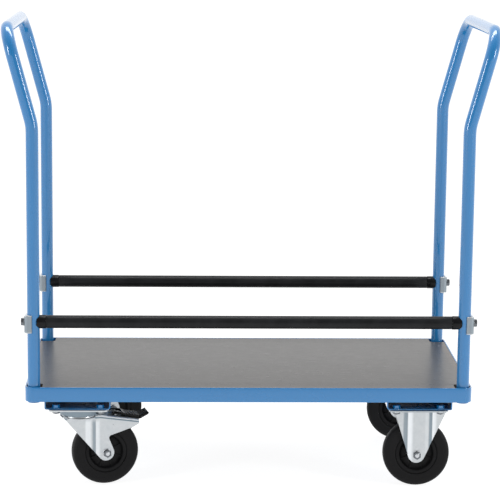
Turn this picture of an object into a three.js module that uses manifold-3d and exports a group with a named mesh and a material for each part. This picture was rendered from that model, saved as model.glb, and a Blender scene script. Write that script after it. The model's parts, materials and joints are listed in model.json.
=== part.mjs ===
// Platform cart: a board deck in a steel rim on four castors, with a bent tube push handle at each end
// and a sleeved side bar bolted between the handles along each long side.
// Millimetres. X runs along the deck, Y across it, Z up. The origin is on the floor under its middle.

import * as THREE from 'three';
import { mergeVertices } from 'three/addons/utils/BufferGeometryUtils.js';
import Module from 'manifold-3d';

const wasm = await Module();
wasm.setup();

// ---- Driving dimensions -------------------------------------------------------------------------

const gap = 0.3; // left between pieces that touch

// Deck and its rim
const deckLength = 1058;
const deckWidth = 550;
const rimTop = 252;
const rimHeight = 35;
const rimThickness = 3.5;
const cornerRadius = 20;
const cornerLeg = 45; // length of a corner piece along each side
const boardThickness = 16;
const boardSink = 0.5; // the board lies this far below the rim
const boardNotch = 20; // from a handle tube's axis to the edges of the board's notch
const ledgeThickness = 3;
const ledgeWidth = 28;

// Push handles
const tubeRadius = 15;
const tubeWall = 2;
const tubeSides = 12;
const uprightInset = 21; // tube axis to the outer face of the rim
const tubeFoot = 213; // height of the open lower end of the tubes
const leanHeight = 868; // where the uprights bend outwards
const leanAngle = THREE.MathUtils.degToRad(15);
const leanRadius = 120;
const crossbarHeight = 1090;
const crossbarRadius = 65;

// Side bars
const barHeight = 406;
const sleeveRadius = 15.25;
const sleeveWall = 2.4;
const coreWall = 2;
const barCapRadius = 16;
const barCapLength = 22;
const insertDepth = 16; // the threaded plug lies this far inside the end of the core
const insertThickness = 12;
const boltRadius = 5;
const boltHeadRadius = 9.8; // across the corners
const boltHeadHeight = 6.4;
const saddleHeight = 46;
const saddleDepth = 21; // tube axis to the flat under the bolt head
const saddleHalfWidth = 17.5;

// Cross channels that carry the castors
const channelInside = 76.5; // castor axis to the flange that faces the middle of the cart
const channelOutside = 79.5; // castor axis to the other flange
const channelLength = 526;
const channelThickness = 3;
const channelBend = 5;

// Castors
const castorHeight = 195;
const castorX = 404;
const castorY = 213;
const trail = 62;
const swivelAngle = THREE.MathUtils.degToRad(13); // how far the swivel castors stand turned
const plateLength = 140;
const plateWidth = 110;
const plateThickness = 4;
const boltSpacingX = 105;
const boltSpacingY = 80;
const plateHoleRadius = 5.2;
const wheelRadius = 80;
const tyreWidth = 40;
const rimRadius = 50;
const wheelSides = 24;
const rimRingDepth = 6;
const rimWebHalf = 4;
const hubRadius = 15;
const axleRadius = 6;
const axleHeadRadius = 10.5;
const axleHeadHeight = 7;
const legInside = 24.5; // wheel plane to the inner face of a fork leg
const legThickness = 3;
const panelRise = 3.5; // how far the pressed panel stands out from the rest of the leg
const fixedLegEndRadius = 17.5;
const fixedLegInside = 58; // half length of a fixed fork's top towards the middle of the cart
const fixedLegOutside = 64; // and towards its end
const panelMiddle = 2; // the pressed panel's middle lies this far out from the axle
const panelFoot = 33; // half width of the panel where it leaves the leg
const panelFlat = 26; // half width of its flat top
const swivelLegEndRadius = 18.5;
const swivelPanelStart = 28; // where a swivel fork's legs step out, along the fork from its swivel axis
const swivelPanelFull = 36; // and where they stand fully out
const webThickness = 2.8;
const webStart = 46; // where the fork's top web starts to fall
const webEnd = 139;
const webDrop = 0.155; // how much it falls for each unit along the fork
const headRadius = 48;
const headTop = 182.5;
const headBottom = 167;
const kingpinRadius = 9;
const kingpinHeadRadius = 16;

// Brake
const pedalPivot = new THREE.Vector2(84, 171); // along the fork from the swivel axis, and height
const pedalHalfWidth = 22;
const lugInside = 10;
const lugThickness = 3;
const pedalPinRadius = 3;
const shoeStart = 15; // pedal pin to the near face of the brake shoe
const shoeLength = 11;
const shoeWidth = 12;

// ---- Derived sizes ------------------------------------------------------------------------------

const rimBottom = rimTop - rimHeight;
const ledgeTop = rimTop - boardSink - boardThickness - gap;
const uprightX = deckLength / 2 - uprightInset;
const uprightY = deckWidth / 2 - uprightInset;
const plateBottom = castorHeight - plateThickness;
const legOutside = legInside + panelRise + legThickness;

// ---- Materials ----------------------------------------------------------------------------------

function material(color, roughness, metalness) {
  return new THREE.MeshStandardMaterial({ color, roughness, metalness });
}

const bluePaint = material(0x4a82bb, 0.3, 0.1);
const deckGrey = material(0x8b8a8b, 0.4, 0);
const zinc = material(0xc9cdd2, 0.35, 0.9);
const steel = material(0x6b6e73, 0.4, 0.9);
const blackPlastic = material(0x232325, 0.35, 0);
const blackRubber = material(0x1f1f21, 0.75, 0);

// ---- Geometry helpers ---------------------------------------------------------------------------

// The closed solid of a geometry, for cutting and joining.
function solidOf(geometry) {
  const bare = geometry.clone();
  bare.deleteAttribute('normal');
  bare.deleteAttribute('uv');
  const merged = mergeVertices(bare, 1e-4);
  const mesh = new wasm.Mesh({
    numProp: 3,
    vertProperties: new Float32Array(merged.attributes.position.array),
    triVerts: new Uint32Array(merged.index.array),
  });
  return new wasm.Manifold(mesh);
}

function geometryOf(solid) {
  const mesh = solid.getMesh();
  const geometry = new THREE.BufferGeometry();
  geometry.setAttribute('position', new THREE.BufferAttribute(new Float32Array(mesh.vertProperties), 3));
  geometry.setIndex(new THREE.BufferAttribute(new Uint32Array(mesh.triVerts), 1));
  return geometry;
}

function join(...geometries) {
  return geometryOf(geometries.map(solidOf).reduce((whole, piece) => whole.add(piece)));
}

function cut(geometry, ...tools) {
  return geometryOf(tools.map(solidOf).reduce((whole, tool) => whole.subtract(tool), solidOf(geometry)));
}

function common(first, second) {
  return geometryOf(solidOf(first).intersect(solidOf(second)));
}

function box(sizeX, sizeY, sizeZ, x, y, z) {
  return new THREE.BoxGeometry(sizeX, sizeY, sizeZ).translate(x, y, z);
}

function rodX(radius, fromX, toX, sides, y = 0, z = 0) {
  const rod = new THREE.CylinderGeometry(radius, radius, toX - fromX, sides).rotateZ(Math.PI / 2);
  return rod.translate((fromX + toX) / 2, y, z);
}

function rodY(radius, fromY, toY, sides, x = 0, z = 0) {
  const rod = new THREE.CylinderGeometry(radius, radius, toY - fromY, sides);
  return rod.translate(x, (fromY + toY) / 2, z);
}

function rodZ(radius, fromZ, toZ, sides, x = 0, y = 0) {
  const rod = new THREE.CylinderGeometry(radius, radius, toZ - fromZ, sides).rotateX(Math.PI / 2);
  return rod.translate(x, y, (fromZ + toZ) / 2);
}

function shapeFrom(points) {
  return new THREE.Shape(points.map(([x, y]) => new THREE.Vector2(x, y)));
}

// A plan-view shape, raised from one height to another.
function slab(shape, fromZ, toZ, curveSegments = 5) {
  const options = { depth: toZ - fromZ, bevelEnabled: false, curveSegments };
  return new THREE.ExtrudeGeometry(shape, options).translate(0, 0, fromZ);
}

// A side-view shape (X and Z), given its thickness along Y from one place to another.
function sidePlate(shape, fromY, toY, curveSegments = 6) {
  const options = { depth: toY - fromY, bevelEnabled: false, curveSegments };
  const plate = new THREE.ExtrudeGeometry(shape, options);
  return plate.rotateX(Math.PI / 2).translate(0, toY, 0);
}

// An end-view shape (Y and Z), centred along X.
function endSection(shape, length) {
  const options = { depth: length, bevelEnabled: false, curveSegments: 4 };
  const section = new THREE.ExtrudeGeometry(shape, options).translate(0, 0, -length / 2);
  const axes = [new THREE.Vector3(0, 1, 0), new THREE.Vector3(0, 0, 1), new THREE.Vector3(1, 0, 0)];
  return section.applyMatrix4(new THREE.Matrix4().makeBasis(...axes));
}

// A solid of revolution about the Y axis. The profile is a closed list of radius and place along Y.
function turned(profile, sides) {
  const points = [...profile, profile[0]].map(([radius, y]) => new THREE.Vector2(radius, y));
  return new THREE.LatheGeometry(points, sides);
}

// A straight pipe along X.
function pipeX(outer, inner, fromX, toX, sides) {
  const section = new THREE.Shape().absarc(0, 0, outer, 0, 2 * Math.PI);
  section.holes.push(new THREE.Path().absarc(0, 0, inner, 0, 2 * Math.PI));
  const options = { depth: toX - fromX, bevelEnabled: false, curveSegments: sides / 2 };
  return new THREE.ExtrudeGeometry(section, options).rotateY(Math.PI / 2).translate(fromX, 0, 0);
}

// A route of straight lines through the given corners, each corner rounded to its own radius.
class RoundedRoute extends THREE.Curve {
  constructor(corners, radii, bendSteps) {
    super();
    this.stations = [corners[0]];
    this.headings = [corners[1].clone().sub(corners[0]).normalize()];
    for (let i = 1; i < corners.length - 1; i += 1) {
      this.addBend(corners[i - 1], corners[i], corners[i + 1], radii[i - 1], bendSteps[i - 1]);
    }
    this.stations.push(corners[corners.length - 1]);
    this.headings.push(this.headings[this.headings.length - 1].clone());
    this.steps = this.stations.length - 1;
  }

  addBend(before, corner, after, radius, steps) {
    const arriving = corner.clone().sub(before).normalize();
    const leaving = after.clone().sub(corner).normalize();
    const turn = arriving.angleTo(leaving);
    const start = corner.clone().addScaledVector(arriving, -radius * Math.tan(turn / 2));
    const axis = arriving.clone().cross(leaving).normalize();
    const centre = start.clone().addScaledVector(axis.clone().cross(arriving), radius);
    for (let k = 0; k <= steps; k += 1) {
      const angle = (turn * k) / steps;
      this.stations.push(start.clone().sub(centre).applyAxisAngle(axis, angle).add(centre));
      this.headings.push(arriving.clone().applyAxisAngle(axis, angle));
    }
  }

  getPointAt(u) {
    return this.stations[Math.round(u * this.steps)].clone();
  }

  getTangentAt(u) {
    return this.headings[Math.round(u * this.steps)].clone();
  }
}

const cart = new THREE.Group();

function addPart(parent, name, geometry, surface) {
  const mesh = new THREE.Mesh(geometry, surface);
  mesh.name = name;
  parent.add(mesh);
  return mesh;
}

// ---- Deck and rim -------------------------------------------------------------------------------

// The board has a notch at each corner, where a handle tube passes.
function deckBoard() {
  const x = deckLength / 2 - rimThickness - gap;
  const y = deckWidth / 2 - rimThickness - gap;
  const inX = uprightX - boardNotch;
  const inY = uprightY - boardNotch;
  const outline = shapeFrom([
    [-inX, -y], [inX, -y], [inX, -inY], [x, -inY], [x, inY], [inX, inY],
    [inX, y], [-inX, y], [-inX, inY], [-x, inY], [-x, -inY], [-inX, -inY],
  ]);
  const top = rimTop - boardSink;
  return slab(outline, top - boardThickness, top);
}

// A rim rail lies along X with its outer face at y = -reach; its ledge carries the board.
function rimRail(length, reach) {
  const inside = -reach + rimThickness;
  const section = shapeFrom([
    [-reach, rimBottom], [inside, rimBottom], [inside, ledgeTop - ledgeThickness],
    [inside + ledgeWidth, ledgeTop - ledgeThickness], [inside + ledgeWidth, ledgeTop],
    [inside, ledgeTop], [inside, rimTop], [-reach, rimTop],
  ]);
  return endSection(section, length);
}

// A corner piece about its handle tube: a wall rounded at the corner, on a plate with a hole for the tube.
function cornerPiece() {
  const out = -uprightInset;
  const reach = out + cornerLeg - gap;
  const inner = out + rimThickness;
  const bend = out + cornerRadius;
  const wall = new THREE.Shape();
  wall.moveTo(reach, out);
  wall.lineTo(reach, inner);
  wall.lineTo(bend, inner);
  wall.absarc(bend, bend, cornerRadius - rimThickness, -Math.PI / 2, -Math.PI, true);
  wall.lineTo(inner, reach);
  wall.lineTo(out, reach);
  wall.lineTo(out, bend);
  wall.absarc(bend, bend, cornerRadius, -Math.PI, -Math.PI / 2, false);
  const floor = new THREE.Shape();
  floor.moveTo(reach, inner - 1);
  floor.lineTo(reach, reach);
  floor.lineTo(inner - 1, reach);
  floor.lineTo(inner - 1, bend);
  floor.absarc(bend, bend, cornerRadius - rimThickness + 1, -Math.PI, -Math.PI / 2, false);
  const corner = join(slab(wall, rimBottom, rimTop), slab(floor, ledgeTop - ledgeThickness, ledgeTop));
  return cut(corner, rodZ(tubeRadius + 2 * gap, rimBottom, rimTop, 24));
}

function addDeck() {
  addPart(cart, 'deck_board', deckBoard(), deckGrey);
  const longRail = deckLength - 2 * cornerLeg;
  const shortRail = deckWidth - 2 * cornerLeg;
  const rails = [
    ['rim_rail_front', longRail, deckWidth / 2, 0],
    ['rim_rail_right', shortRail, deckLength / 2, Math.PI / 2],
    ['rim_rail_rear', longRail, deckWidth / 2, Math.PI],
    ['rim_rail_left', shortRail, deckLength / 2, -Math.PI / 2],
  ];
  for (const [name, length, reach, turn] of rails) {
    addPart(cart, name, rimRail(length, reach), bluePaint).rotation.z = turn;
  }
  const corners = [
    ['rim_corner_front_left', -1, -1, 0],
    ['rim_corner_front_right', 1, -1, Math.PI / 2],
    ['rim_corner_rear_right', 1, 1, Math.PI],
    ['rim_corner_rear_left', -1, 1, -Math.PI / 2],
  ];
  for (const [name, sideX, sideY, turn] of corners) {
    const corner = addPart(cart, name, cornerPiece(), bluePaint);
    corner.position.set(sideX * uprightX, sideY * uprightY, 0);
    corner.rotation.z = turn;
  }
}

// ---- Cross channels -----------------------------------------------------------------------------

function castorBoltPlaces() {
  const places = [];
  for (const x of [-boltSpacingX / 2, boltSpacingX / 2]) {
    for (const y of [-boltSpacingY / 2, boltSpacingY / 2]) {
      places.push([x, y]);
    }
  }
  return places;
}

// An upright U across the deck: its flanges reach up to the ledges and its web carries two castors. It is
// drawn about the castors' middle, with the end of the cart on its +X side.
function crossChannel() {
  const low = castorHeight + gap;
  const high = ledgeTop - ledgeThickness - gap;
  const bendHeight = low + channelBend;
  const bendIn = channelBend - channelThickness;
  const section = new THREE.Shape();
  section.moveTo(-channelInside, high);
  section.lineTo(-channelInside, bendHeight);
  section.absarc(channelBend - channelInside, bendHeight, channelBend, Math.PI, 1.5 * Math.PI, false);
  section.lineTo(channelOutside - channelBend, low);
  section.absarc(channelOutside - channelBend, bendHeight, channelBend, -Math.PI / 2, 0, false);
  section.lineTo(channelOutside, high);
  section.lineTo(channelOutside - channelThickness, high);
  section.lineTo(channelOutside - channelThickness, bendHeight);
  section.absarc(channelOutside - channelBend, bendHeight, bendIn, 0, -Math.PI / 2, true);
  section.lineTo(channelBend - channelInside, low + channelThickness);
  section.absarc(channelBend - channelInside, bendHeight, bendIn, 1.5 * Math.PI, Math.PI, true);
  section.lineTo(channelThickness - channelInside, high);
  const holes = [];
  for (const side of [-1, 1]) {
    for (const [x, y] of castorBoltPlaces()) {
      holes.push(rodZ(plateHoleRadius, low - 5, low + 10, 8, x, side * castorY + y));
    }
  }
  return cut(sidePlate(section, -channelLength / 2, channelLength / 2, 3), ...holes);
}

function addChannels() {
  for (const [name, side, turn] of [['cross_channel_left', -1, Math.PI], ['cross_channel_right', 1, 0]]) {
    const channel = addPart(cart, name, crossChannel(), bluePaint);
    channel.position.x = side * castorX;
    channel.rotation.z = turn;
  }
}

// ---- Push handles -------------------------------------------------------------------------------

// One bent tube: up from the front corner, leaning outwards, across, and down to the rear corner.
function pushHandle() {
  const lean = (crossbarHeight - leanHeight) * Math.tan(leanAngle);
  const corners = [
    [0, -uprightY, tubeFoot],
    [0, -uprightY, leanHeight],
    [lean, -uprightY, crossbarHeight],
    [lean, uprightY, crossbarHeight],
    [0, uprightY, leanHeight],
    [0, uprightY, tubeFoot],
  ].map((point) => new THREE.Vector3(...point));
  const radii = [leanRadius, crossbarRadius, crossbarRadius, leanRadius];
  const route = new RoundedRoute(corners, radii, [2, 5, 5, 2]);
  const section = new THREE.Shape().absarc(0, 0, tubeRadius, 0, 2 * Math.PI);
  section.holes.push(new THREE.Path().absarc(0, 0, tubeRadius - tubeWall, 0, 2 * Math.PI));
  const options = { extrudePath: route, steps: route.steps, curveSegments: tubeSides / 2 };
  const tube = new THREE.ExtrudeGeometry(section, options);
  const boltHoles = [-uprightY, uprightY].map((y) => rodX(boltRadius + gap, -20, 20, 8, y, barHeight));
  return cut(tube, ...boltHoles);
}

function addHandles() {
  for (const [name, side, turn] of [['push_handle_left', -1, Math.PI], ['push_handle_right', 1, 0]]) {
    const handle = addPart(cart, name, pushHandle(), bluePaint);
    handle.position.x = side * uprightX;
    handle.rotation.z = turn;
  }
}

// ---- Side bars ----------------------------------------------------------------------------------

const sleeveEnd = uprightX - tubeRadius - barCapLength + 7;
const coreRadius = sleeveRadius - sleeveWall - gap;
const coreBore = coreRadius - coreWall;

// The steel core, with a threaded plug welded inside each end.
function barCore() {
  const half = sleeveEnd - gap;
  const tube = pipeX(coreRadius, coreBore, -half, half, 16);
  const plugs = [-1, 1].map((side) => {
    const outer = side * (half - insertDepth);
    const inner = side * (half - insertDepth - insertThickness);
    return pipeX(coreBore + 0.5, boltRadius + gap, Math.min(outer, inner), Math.max(outer, inner), 12);
  });
  return join(tube, ...plugs);
}

function barSleeve() {
  const half = sleeveEnd - gap;
  return pipeX(sleeveRadius, sleeveRadius - sleeveWall, -half, half, 20);
}

// An end cap about the handle tube's axis, pointing outwards along +X: a flange hollowed to sit on
// the tube, and a spigot that enters the core.
function barCap() {
  const flangeStart = sleeveEnd - uprightX;
  const spigotStart = flangeStart - insertDepth + 2;
  const flange = rodX(barCapRadius, flangeStart, 7 - tubeRadius, 18);
  const spigot = rodX(coreBore - 2 * gap, spigotStart, flangeStart + 2, 12);
  const tube = rodZ(tubeRadius + 1.5 * gap, -30, 30, 24);
  const boltHole = rodX(boltRadius + gap, -60, 0, 8);
  return cut(join(flange, spigot), tube, boltHole);
}

// The saddle hugs the outer side of the tube and gives the bolt head a flat seat.
function saddle() {
  const start = 3;
  const round = 8;
  const hug = tubeRadius + gap;
  const grip = Math.acos(start / hug);
  const outline = new THREE.Shape();
  outline.moveTo(start, -saddleHalfWidth);
  outline.lineTo(saddleDepth - round, -saddleHalfWidth);
  outline.absarc(saddleDepth - round, round - saddleHalfWidth, round, -Math.PI / 2, 0, false);
  outline.absarc(saddleDepth - round, saddleHalfWidth - round, round, 0, Math.PI / 2, false);
  outline.lineTo(start, saddleHalfWidth);
  outline.absarc(0, 0, hug, grip, -grip, true);
  const body = slab(outline, -saddleHeight / 2, saddleHeight / 2, 5);
  return cut(body, rodX(boltRadius + gap, 0, 40, 8));
}

// A hexagon bolt through saddle, tube and cap into the threaded plug.
function barBolt() {
  const seat = saddleDepth + gap;
  const tip = sleeveEnd - uprightX - insertDepth - insertThickness - 2;
  return join(
    rodX(boltHeadRadius, seat, seat + boltHeadHeight, 6),
    rodX(boltRadius, tip, seat + 1, 8),
  );
}

function addSideBars() {
  for (const [row, side] of [['front', -1], ['rear', 1]]) {
    const bar = new THREE.Group();
    bar.position.set(0, side * uprightY, barHeight);
    cart.add(bar);
    addPart(bar, `side_bar_core_${row}`, barCore(), steel);
    addPart(bar, `side_bar_sleeve_${row}`, barSleeve(), blackPlastic);
    for (const [end, sideX] of [['left', -1], ['right', 1]]) {
      const joint = new THREE.Group();
      joint.position.x = sideX * uprightX;
      joint.rotation.z = sideX < 0 ? Math.PI : 0;
      bar.add(joint);
      addPart(joint, `bar_cap_${row}_${end}`, barCap(), blackPlastic);
      addPart(joint, `bar_saddle_${row}_${end}`, saddle(), zinc);
      addPart(joint, `bar_bolt_${row}_${end}`, barBolt(), steel);
    }
  }
}

// ---- Wheels and axles ---------------------------------------------------------------------------

// The tyre: a tread with round shoulders, flat sidewalls and a bore that sits on the rim.
function tyre() {
  const half = tyreWidth / 2;
  return turned([
    [rimRadius + gap, -half + 1], [wheelRadius - 10, -half], [wheelRadius - 3, -half + 3],
    [wheelRadius, -half + 10], [wheelRadius, half - 10], [wheelRadius - 3, half - 3],
    [wheelRadius - 10, half], [rimRadius + gap, half - 1],
  ], wheelSides);
}

// The plastic rim: a hub tube, a thin web and the ring that carries the tyre.
function wheelRim() {
  const half = tyreWidth / 2 - 3;
  const hubHalf = legInside + panelRise - 1;
  const bore = axleRadius + gap;
  const ring = rimRadius - rimRingDepth;
  return turned([
    [bore, -hubHalf], [hubRadius, -hubHalf], [hubRadius, -rimWebHalf], [ring, -rimWebHalf],
    [ring, -half], [rimRadius, -half], [rimRadius, half], [ring, half],
    [ring, rimWebHalf], [hubRadius, rimWebHalf], [hubRadius, hubHalf], [bore, hubHalf],
  ], wheelSides);
}

// The axle bolt, with its head on one side of the fork and its nut on the other.
function axleBolt() {
  const seat = legOutside + gap;
  const end = seat + axleHeadHeight;
  return join(
    rodY(axleRadius, -end + 1, end - 1, 12),
    rodY(axleHeadRadius, -end, -seat, 6),
    rodY(axleHeadRadius, seat, end, 6),
  );
}

function addWheel(fork, name, x) {
  const wheel = new THREE.Group();
  wheel.position.set(x, 0, wheelRadius);
  fork.add(wheel);
  addPart(wheel, `tyre_${name}`, tyre(), blackRubber);
  addPart(wheel, `wheel_rim_${name}`, wheelRim(), blackPlastic);
  addPart(wheel, `axle_bolt_${name}`, axleBolt(), zinc);
}

// ---- Castor plates and forks --------------------------------------------------------------------

function mountingPlate() {
  const middle = castorHeight - plateThickness / 2;
  const plate = box(plateLength, plateWidth, plateThickness, 0, 0, middle);
  const hole = ([x, y]) => rodZ(plateHoleRadius, plateBottom - 5, castorHeight + 5, 8, x, y);
  return cut(plate, ...castorBoltPlaces().map(hole));
}

// A leg is a pressed sheet: its section, seen from above, is raised to full height and then trimmed to
// its outline, seen from the side. The same leg stands on both sides of the wheel.
function pressedLegs(section, outline, axleX, low, high) {
  const sheet = slab(shapeFrom(section), low, high);
  const mirrored = slab(shapeFrom(section.map(([x, y]) => [x, -y]).reverse()), low, high);
  const trim = sidePlate(outline, -60, 60, 5);
  const hole = rodY(axleRadius + gap, -60, 60, 12, axleX, wheelRadius);
  return [sheet, mirrored].map((leg) => cut(common(leg, trim), hole));
}

// The fixed fork: two tapering legs with a pressed panel down the middle, under a bolt-on plate. The end of
// the cart is on its +X side, where the legs reach a little farther.
function fixedFork() {
  const top = plateBottom + 1;
  const inner = legInside;
  const outer = legInside + legThickness;
  const [footIn, flatIn] = [panelMiddle - panelFoot, panelMiddle - panelFlat];
  const [footOut, flatOut] = [panelMiddle + panelFoot, panelMiddle + panelFlat];
  const section = [
    [-80, inner], [footIn, inner], [flatIn, inner + panelRise], [flatOut, inner + panelRise],
    [footOut, inner], [80, inner], [80, outer], [footOut, outer], [flatOut, outer + panelRise],
    [flatIn, outer + panelRise], [footIn, outer], [-80, outer],
  ];
  const tangentIn = tangentAngle(fixedLegInside, top - wheelRadius, fixedLegEndRadius);
  const tangentOut = tangentAngle(fixedLegOutside, top - wheelRadius, fixedLegEndRadius);
  const outline = new THREE.Shape();
  outline.moveTo(fixedLegOutside, top);
  outline.lineTo(-fixedLegInside, top);
  outline.absarc(0, wheelRadius, fixedLegEndRadius, Math.PI - tangentIn, 2 * Math.PI + tangentOut, false);
  const legs = pressedLegs(section, outline, 0, wheelRadius - 30, top);
  return join(mountingPlate(), ...legs);
}

// The angle on a circle about the origin where the line from the point (x, y) touches it on the side
// facing +X.
function tangentAngle(x, y, radius) {
  return Math.atan2(y, x) - Math.acos(radius / Math.hypot(x, y));
}

// The fixed half of the swivel head: the bolt-on plate with a round housing pressed down from it.
function swivelPlate() {
  const bore = kingpinRadius + 2 * gap;
  const housing = turned([
    [bore, plateBottom + 1], [bore, plateBottom - 3], [headRadius - 16, plateBottom - 3],
    [headRadius - 12, headTop + gap], [headRadius - 6, headTop + gap],
    [headRadius, plateBottom - 2], [headRadius, plateBottom + 1],
  ], 20).rotateX(Math.PI / 2);
  const pinHole = rodZ(bore, plateBottom - 10, castorHeight + 5, 12);
  return cut(join(mountingPlate(), housing), pinHole);
}

// The pin that holds the fork to the plate, with a wide head under the fork.
function kingpin() {
  return join(
    rodZ(kingpinRadius, headBottom - 8, castorHeight, 12),
    rodZ(kingpinHeadRadius, headBottom - 9, headBottom - gap - 1, 12),
  );
}

// The height of the top web's upper face.
const webTopAt = (x) => headBottom + 2 - (x - webStart) * webDrop;

// The side outline of a swivel fork's leg, from the swivel head down to the axle and out to the ear.
function swivelLegOutline() {
  const headEdge = new THREE.Vector2(-46, headBottom + 2);
  const notch = new THREE.Vector2(67, 119);
  const earLow = new THREE.Vector2(119, 136.5);
  const earTip = 140;
  const start = tangentAngle(trail - headEdge.x, headEdge.y - wheelRadius, swivelLegEndRadius);
  const end = tangentAngle(notch.x - trail, notch.y - wheelRadius, swivelLegEndRadius);
  const outline = new THREE.Shape();
  outline.moveTo(headEdge.x, headEdge.y);
  outline.absarc(trail, wheelRadius, swivelLegEndRadius, Math.PI - start, 2 * Math.PI + end, false);
  outline.lineTo(notch.x, notch.y - 4);
  outline.lineTo(notch.x + 5, notch.y + 5);
  outline.lineTo(earLow.x, earLow.y);
  outline.lineTo(earTip - 9, earLow.y + 7);
  outline.lineTo(earTip, webTopAt(earTip) - 1);
  outline.lineTo(earTip - 1, webTopAt(earTip));
  outline.lineTo(webStart, webTopAt(webStart));
  return outline;
}

// The swivel fork: a round head, two legs, a sloping web between them and two lugs for the pedal.
function swivelFork() {
  const inner = legInside;
  const outer = legInside + legThickness;
  const section = [
    [-60, inner], [swivelPanelStart, inner], [swivelPanelFull, inner + panelRise], [150, inner + panelRise],
    [150, outer + panelRise], [swivelPanelFull, outer + panelRise], [swivelPanelStart, outer], [-60, outer],
  ];
  const legs = pressedLegs(section, swivelLegOutline(), trail, wheelRadius - 30, headBottom + 10);
  const web = sidePlate(shapeFrom([
    [-40, webTopAt(webStart) - webThickness], [webStart, webTopAt(webStart) - webThickness],
    [webEnd, webTopAt(webEnd) - webThickness], [webEnd, webTopAt(webEnd)],
    [webStart, webTopAt(webStart)], [-40, webTopAt(webStart)],
  ]), -legInside - 0.5, legInside + 0.5);
  const webWide = sidePlate(shapeFrom([
    [swivelPanelFull, webTopAt(webStart + 10) - webThickness], [webEnd, webTopAt(webEnd) - webThickness],
    [webEnd, webTopAt(webEnd)], [webStart, webTopAt(webStart)],
  ]), -legInside - panelRise - 0.5, legInside + panelRise + 0.5);
  const bore = kingpinRadius + 2 * gap;
  const head = turned([
    [bore, headBottom - 1], [headRadius - 8, headBottom - 1], [headRadius, headBottom + 5],
    [headRadius, headTop - 5], [headRadius - 4, headTop], [bore, headTop],
  ], 20).rotateX(Math.PI / 2);
  const lugShape = shapeFrom([
    [pedalPivot.x - 9, webTopAt(pedalPivot.x) - 2], [pedalPivot.x + 9, webTopAt(pedalPivot.x) - 3],
    [pedalPivot.x + 6, pedalPivot.y + 4], [pedalPivot.x + 2, pedalPivot.y + 6],
    [pedalPivot.x - 2, pedalPivot.y + 6], [pedalPivot.x - 6, pedalPivot.y + 4],
  ]);
  const lugs = [-1, 1].map((side) => {
    const near = side * lugInside;
    const far = side * (lugInside + lugThickness);
    return sidePlate(lugShape, Math.min(near, far), Math.max(near, far));
  });
  const whole = join(...legs, web, webWide, head, ...lugs);
  const pinHole = rodY(pedalPinRadius + gap, -20, 20, 12, pedalPivot.x, pedalPivot.y);
  const slotMiddle = pedalPivot.x + shoeStart + shoeLength / 2;
  const shoeSlot = box(38, 2 * lugInside - 1, 30, slotMiddle, 0, webTopAt(slotMiddle));
  const kingpinHole = rodZ(bore, headBottom - 20, headTop + 5, 12);
  return cut(whole, pinHole, shoeSlot, kingpinHole);
}

// ---- Brake --------------------------------------------------------------------------------------

// The pedal: a bill with a turned-up tip, forked at its root around the two lugs.
function brakePedal() {
  const outline = shapeFrom([
    [pedalPivot.x - 8, pedalPivot.y - 1], [pedalPivot.x - 5, webTopAt(pedalPivot.x) + 3],
    [140, 158], [145, 158.6], [164, 168], [166, 171.5], [163.5, 174], [158, 171], [143, 166.5],
    [112, 171.5], [pedalPivot.x + 4, pedalPivot.y + 7], [pedalPivot.x - 3, pedalPivot.y + 7],
    [pedalPivot.x - 7, pedalPivot.y + 4],
  ]);
  const bill = sidePlate(outline, -pedalHalfWidth, pedalHalfWidth);
  const fork = box(36, 2 * (lugInside + lugThickness + 1), 30, pedalPivot.x - 1, 0, pedalPivot.y);
  const pinHole = rodY(pedalPinRadius + gap, -30, 30, 12, pedalPivot.x, pedalPivot.y);
  return cut(bill, fork, pinHole);
}

// The shoe hangs under the pedal, through the slot in the fork's web, and presses on the tread.
function brakeShoe() {
  const near = pedalPivot.x + shoeStart;
  const far = near + shoeLength;
  const high = webTopAt(far) + 2.5;
  const low = wheelRadius + 60;
  const arm = box(shoeLength, shoeWidth, high - low, (near + far) / 2, 0, (high + low) / 2);
  return cut(arm, rodY(wheelRadius + 1, -30, 30, 48, trail, wheelRadius));
}

function pedalPin() {
  const half = pedalHalfWidth + 1.5;
  return rodY(pedalPinRadius, -half, half, 12);
}

// ---- Castors ------------------------------------------------------------------------------------

function addFixedCastor(row, y) {
  const castor = new THREE.Group();
  castor.position.set(castorX, y, 0);
  cart.add(castor);
  addPart(castor, `fixed_fork_${row}`, fixedFork(), zinc);
  addWheel(castor, `${row}_right`, 0);
}

function addSwivelCastor(row, y) {
  const castor = new THREE.Group();
  castor.position.set(-castorX, y, 0);
  cart.add(castor);
  addPart(castor, `swivel_plate_${row}`, swivelPlate(), zinc);
  addPart(castor, `kingpin_${row}`, kingpin(), steel);
  const turning = new THREE.Group();
  turning.rotation.z = swivelAngle;
  castor.add(turning);
  addPart(turning, `swivel_fork_${row}`, swivelFork(), zinc);
  addWheel(turning, `${row}_left`, trail);
  addPart(turning, `brake_pedal_${row}`, brakePedal(), blackPlastic);
  addPart(turning, `brake_shoe_${row}`, brakeShoe(), steel);
  addPart(turning, `pedal_pin_${row}`, pedalPin(), steel).position.set(pedalPivot.x, 0, pedalPivot.y);
}

addDeck();
addChannels();
addHandles();
addSideBars();
for (const [row, side] of [['front', -1], ['rear', 1]]) {
  addFixedCastor(row, side * castorY);
  addSwivelCastor(row, side * castorY);
}

export default cart;
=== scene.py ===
"""Platform cart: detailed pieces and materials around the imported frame.

Lengths are written in millimetres and turned into metres when a mesh is made. X runs along the deck
towards the fixed castors, Y across it to the rear, Z up.
"""

import json
import math

import bmesh
import bpy
from mathutils import Matrix, Vector
from mathutils.geometry import tessellate_polygon


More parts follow.
